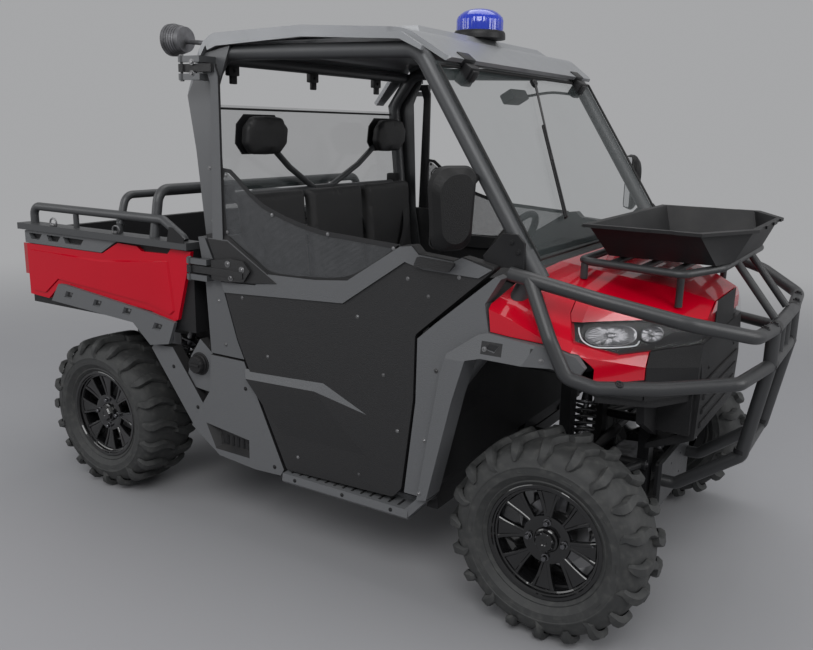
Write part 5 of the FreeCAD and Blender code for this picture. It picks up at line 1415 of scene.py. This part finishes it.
def spring(coils, dampers, low, high):
    """A coil spring between two seats, with a damper through its middle."""
    ahead = (high - low).normalized()
    where = stand(low, ahead, LEFT)
    length = (high - low).length
    foot, head = length * 0.14 + 0.010 + WIRE, length * 0.84 - 0.002 - WIRE
    count = int(TURNS * COIL_STEPS)
    coils.tube([around(where, COIL_RADIUS - WIRE, 2 * math.pi * k / COIL_STEPS,
                       foot + (head - foot) * k / count) for k in range(count + 1)],
               WIRE, side=ahead)
    dampers.lathe(where, [(r, length * share + more) for r, share, more in DAMPER], 32)


coils, dampers = Shape(), Shape()
spring(coils, dampers, M(1.054, -0.470, 0.496), M(1.034, -0.370, 0.7447))
spring(coils, dampers, M(-0.924, -0.440, 0.3896), M(-0.864, -0.372, 0.6827))
coil_piece = coils.mirrored().piece("coil_springs", "spring_black", angle=60)
dampers.mirrored().piece("dampers", "gunmetal", slot="spring_black")
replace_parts(coil_piece, "shock_absorbers")
print("springs done")

# %% [markdown]
# Each wheel has a drilled brake disc and a calliper. Bellows cover the half shafts' joints.

# %%
HOLES = 24
DISC_IN_FRONT, DISC_IN_REAR = 0.020, 0.030
for corner, side in CORNERS:
    front = corner.startswith("front")
    low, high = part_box("tyre_" + corner)
    base = (low + high) / 2
    base.y = side * (abs(base.y) - (DISC_IN_FRONT if front else DISC_IN_REAR))
    where = stand(base, (0, side, 0))
    disc = Shape().lathe(where, mm((40, 0), (112, 0), (112.5, 0.6), (112.5, 3.8), (112, 4.4),
                                   (74, 4.4), (70, 10), (40, 10)), 72, loop=True)
    for k in range(HOLES):
        t = 2 * math.pi * (k + 0.3 * (k % 2)) / HOLES
        disc.lathe(stand(around(where, 0.088 + 0.012 * (k % 2), t, 0.0044), (0, side, 0)),
                   mm((4.5, 0), (4.5, 0.3), (3, 0.3), (3, 0)), 10, loop=True)
    disc.piece("brake_disc_" + corner, "steel", "wheel_" + corner)
    caliper = Shape()
    for k in (-1, 0, 1):
        t = math.radians(165 if front else 15) + k * 0.22
        spot = base + Vector((0.098 * math.cos(t), side * -0.002, 0.098 * math.sin(t)))
        caliper.box((-0.017, -0.020, -0.017), (0.017, 0.020, 0.017), 0.005, -t, spot)
    caliper.piece("brake_calliper_" + corner, "gunmetal",
                  corner.replace("front", "knuckle") if front else "chassis")
print("brakes done")

# %%
SHAFT_RADIUS = 0.0145
BOOT_LONG, BOOT_WIDE, BOOT_NARROW, FOLDS = 0.085, 0.036, 0.019, 6


def bellows(shape, start, end):
    """A rubber boot with folds, from its wide end to its narrow one."""
    length = (end - start).length
    profile = [(SHAFT_RADIUS, 0), (BOOT_WIDE, 0), (BOOT_WIDE, 0.006)]
    for k in range(FOLDS):
        t = (k + 0.5) / FOLDS
        r = BOOT_WIDE + (BOOT_NARROW - BOOT_WIDE) * t
        profile += [(r * 1.02, 0.006 + (length - 0.012) * t),
                    (r * 0.80, 0.006 + (length - 0.012) * (k + 0.95) / FOLDS)]
    profile += [(BOOT_NARROW, length - 0.005), (BOOT_NARROW, length), (SHAFT_RADIUS, length)]
    shape.lathe(stand(start, end - start, AHEAD), profile, 28)


boots = Shape()
for x, inner, outer in ((1.054, 0.19, 0.47), (-1.054, 0.24, 0.44)):
    for a, b in ((inner, inner + BOOT_LONG), (outer, outer - BOOT_LONG)):
        bellows(boots, M(x, -a, 0.385), M(x, -b, 0.385))
boots.mirrored().piece("drive_boots", "dark_rubber")
print("boots done")

# %% [markdown]
# ## Inside the cab
# An instrument pod, switches, a glovebox line, pedals, a shift lever and ribs on the floor.

# %%


def on_dash(y, z, lift=0.0):
    """A place on the dashboard's rear face."""
    return seat_on("dashboard", M(0.30, y, z), AHEAD, lift=lift)


where = on_dash(0.33, 1.045)
pod = Shape().plate(where, mm((-105, -33.6), (105, -33.6), (90.3, 38.4), (-90.3, 38.4)), 0.012,
                    0.004)
pod.lathe(moved(where, 0.011), mm((30, 0), (33, 0), (33, 4), (30, 4)), 32, loop=True)
pod.piece("instrument_pod", "frame_black")
screen = Shape().lathe(on_dash(0.33, 1.045, 0.0115), mm((0, 0), (29, 0), (29, 1.5), (0, 1.5)), 32)
screen.piece("instrument_glass", "lamp_housing")
switches = Shape()
for k in range(7):
    where = on_dash(0.12 - 0.042 * k, 1.02)
    switches.plate(where, rect(0.015, 0.011), 0.004, 0.0015)
    switches.plate(moved(where, 0.0035), rect(0.011, 0.007), 0.0045, 0.002)
for y in (-0.30, -0.43):
    switches.lathe(on_dash(y, 1.06), mm((0, 0), (30, 0), (30, 4), (24, 7), (10, 4), (0, 4)), 28)
switches.piece("dash_switches", "frame_black")
glove = Shape()
for ya, za, yb, zb in ((-0.54, 0.915, -0.20, 0.915), (-0.54, 1.035, -0.20, 1.035),
                       (-0.54, 0.915, -0.54, 1.035), (-0.20, 0.915, -0.20, 1.035)):
    glove.tube([on_dash(ya + (yb - ya) * k / 8, za + (zb - za) * k / 8, 0.0008).translation
                for k in range(9)], 0.0022, 6, side=AHEAD)
glove.plate(on_dash(-0.37, 1.015), mm((-35, -10), (35, -10), (30, 10), (-30, 10)), 0.008, 0.003)
glove.piece("glovebox_lines", "frame_black")
print("dashboard done")

# %%
floor_ribs = Shape()
for k in range(9):
    for low, high in ((-0.60, -0.24), (-0.14, 0.14), (0.24, 0.60)):
        floor_ribs.box((-0.008, low, 0.3722), (0.008, high, 0.3765), 0.0018,
                       at=M(0.18 + 0.04 * k, 0, 0))
floor_ribs.piece("floor_ribs", "black_plastic")
pedals = Shape()
for y, x, w in ((0.25, 0.545, 0.028), (0.38, 0.535, 0.040)):
    arm = [M(0.60, y, 0.56), M(0.575, y, 0.52), M(x + 0.012, y, 0.475)]
    pedals.tube(smooth_path(arm, 4), 0.006)
    where = stand(M(x, y, 0.468), (-0.85, 0, 0.5))
    pedals.plate(where, rect(w, 0.035), 0.007, 0.002)
    for k in range(5):
        pedals.plate(moved(where, 0.0065, v=-0.026 + 0.013 * k), rect(w * 0.85, 0.003), 0.003)
pedals.piece("pedals", "frame_black")
lever = Shape()
spot, out = surface("dashboard", M(0.30, 0.10, 0.965), AHEAD)
lever.tube(smooth_path([spot + out * reach + Vector((0, 0, rise)) for reach, rise in (
    (-0.002, 0), (0.045, 0.01), (0.10, 0.035))]), 0.006, 10)
knob = stand(spot + out * 0.098 + Vector((0, 0, 0.034)), out + Vector((0, 0, 0.4)))
lever.lathe(knob, mm((0, -12), (14, -10), (19, 4), (19, 18), (14, 28), (0, 30)))
lever.piece("shift_lever", "frame_black")
tilt = math.radians(32)
axis = Vector((-math.cos(tilt), 0, math.sin(tilt)))
where = stand(M(0.385, 0.33, 1.11), axis)
grips = Shape().lathe(moved(where, 0.0048), mm((0, 0), (40, 0), (40, 6), (34, 12), (12, 14),
                                               (0, 14)), 32)
for start in (0.25, 0.25 + math.pi / 2 + 0.55, math.pi + 1.6, math.pi + 0.25):
    grips.tube([around(where, 0.175, start + k * 0.085) for k in range(9)], 0.0165, 14, side=axis)
grips.piece("wheel_grips", "dark_rubber", "steering_wheel")
print("cab done")

# %% [markdown]
# Bolts sit where the arms meet the frame, and the silencer has straps.

# %%
joints = Shape()
for side in PAIR:
    for node, x, y, z in (("front_suspension_arms", 1.494, 0.24, 0.315),
                          ("front_suspension_arms", 1.494, 0.24, 0.475),
                          ("frame", 1.529, 0.17, 0.34), ("frame", 1.529, 0.17, 0.42)):
        joints.bolt(seat_on(node, Vector((x, side * y, z)), BACK, AHEAD), 0.009, "hex")
    for z in (0.30, 0.40):
        joints.bolt(seat_on("rear_suspension_arms", Vector((-1.5, side * 0.59, z)), AHEAD, BACK),
                    0.009, "hex")
    for x in (0.94, 1.04, 1.14):
        joints.bolt(seat_on("frame", Vector((x, side * 0.185, 0.1)), ABOVE, BELOW, AHEAD), 0.008)
joints.piece("arm_bolts", "gunmetal")
straps = Shape()
low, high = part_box("muffler")
radius = (high.z - low.z) / 2
middle = surface("muffler", Vector((-1.8, 0.0, (low.z + high.z) / 2)), AHEAD)[0]
middle.x += radius
inner = radius - 0.0006
for y in (-0.13, 0.13):
    straps.lathe(stand(Vector((middle.x, y - 0.010, middle.z)), LEFT),
                 [(inner, 0), (inner + 0.0022, 0), (inner + 0.0022, 0.020), (inner, 0.020)],
                 48, loop=True)
    straps.box((-radius - 0.012, y - 0.008, -0.012), (-radius + 0.004, y + 0.008, 0.012), 0.002,
               at=middle)
straps.piece("silencer_straps", "gunmetal")
print("bolts done")

# %% [markdown]
# ## Studio
# A pale floor, soft panels of light and a camera where the photographer stood: at the vehicle's
# right front, a little above head height. Far off, the floor fades into the backdrop for rays
# that are seen, straight or in a mirror or a pane.

# %%
BACKDROP = (0.38, 0.383, 0.39)
AMBIENT = (0.38, 0.39, 0.41)
FLOOR_HALF = 60


def seen_rays(tree):
    """One for rays from the camera, a shiny face or a pane, and nought for light that lands."""
    rays = tree.nodes.new("ShaderNodeLightPath").outputs
    camera, glossy, through = (Sock(tree, rays["Is %s Ray" % kind])
                               for kind in ("Camera", "Glossy", "Transmission"))
    return camera.most(glossy).most(through)


floor_mesh = bpy.data.meshes.new("studio_floor")
floor_mesh.from_pydata([(u, v, 0) for u, v in rect(FLOOR_HALF, FLOOR_HALF)], [], [(0, 1, 2, 3)])
floor_look = material("floor_pale",
                      lambda place, facing: {"Roughness": place.noise(4.0, 3.0) * 0.1 + 0.6},
                      Base_Color=(0.30, 0.30, 0.31))
tree = floor_look.node_tree
spread = source(tree, "ShaderNodeTexCoord", "Object")
away = spread.node("ShaderNodeVectorMath", {"operation": "LENGTH"}, {0: spread}, out="Value")
glow = source(tree, "ShaderNodeEmission", "Emission")
glow.put(glow.socket.node.inputs["Color"], BACKDROP)
base = Sock(tree, tree.nodes["Principled BSDF"].outputs[0])
mixed = away.node("ShaderNodeMixShader", {}, {0: away.ramp(2.6, 8.0) * seen_rays(tree),
                                              1: base, 2: glow})
mixed.put(tree.nodes["Material Output"].inputs[0], mixed)
floor_mesh.materials.append(floor_look)
add("studio_floor", floor_mesh)
print("floor done")

# %%


def add_light(name, place, aim, size, power):
    """A soft panel that looks at its aim."""
    data = bpy.data.lights.new(name, "AREA")
    data.shape = "RECTANGLE"
    data.size, data.size_y = size
    data.energy = power
    light = add(name, data)
    light.location = place
    light.rotation_euler = (Vector(aim) - Vector(place)).to_track_quat("-Z", "Y").to_euler()


add_light("key_panel", (2.5, -5.0, 5.2), (0, 0, 0.8), (4.5, 3.0), 225)
add_light("fill_panel", (-4.5, -4.5, 3.2), (0, 0, 0.9), (3.5, 3.0), 78)
add_light("front_panel", (6.0, 0.5, 3.0), (0.6, 0, 0.8), (3.0, 3.0), 95)
add_light("top_panel", (0.0, 1.0, 6.0), (0, 0, 1.0), (5.0, 4.0), 110)

world = bpy.data.worlds.new("studio")
bpy.context.scene.world = world
world.use_nodes = True
sky = seen_rays(world.node_tree)
sky.put(world.node_tree.nodes["Background"].inputs["Color"], sky.blend(AMBIENT, BACKDROP))

SENSOR = 36.0
camera_data = bpy.data.cameras.new("camera")
camera_data.sensor_width = SENSOR
camera_data.lens = FOCAL * SENSOR / PHOTO_WIDE
camera = add("camera", camera_data)
turned = Matrix((level_right, level_up, -look)).transposed().to_4x4()
camera.matrix_world = Matrix.Translation(camera_spot) @ turned
bpy.context.scene.camera = camera
bpy.context.scene.view_settings.view_transform = "Standard"
print("camera stands", round(camera_spot.length, 2), "m from the origin")
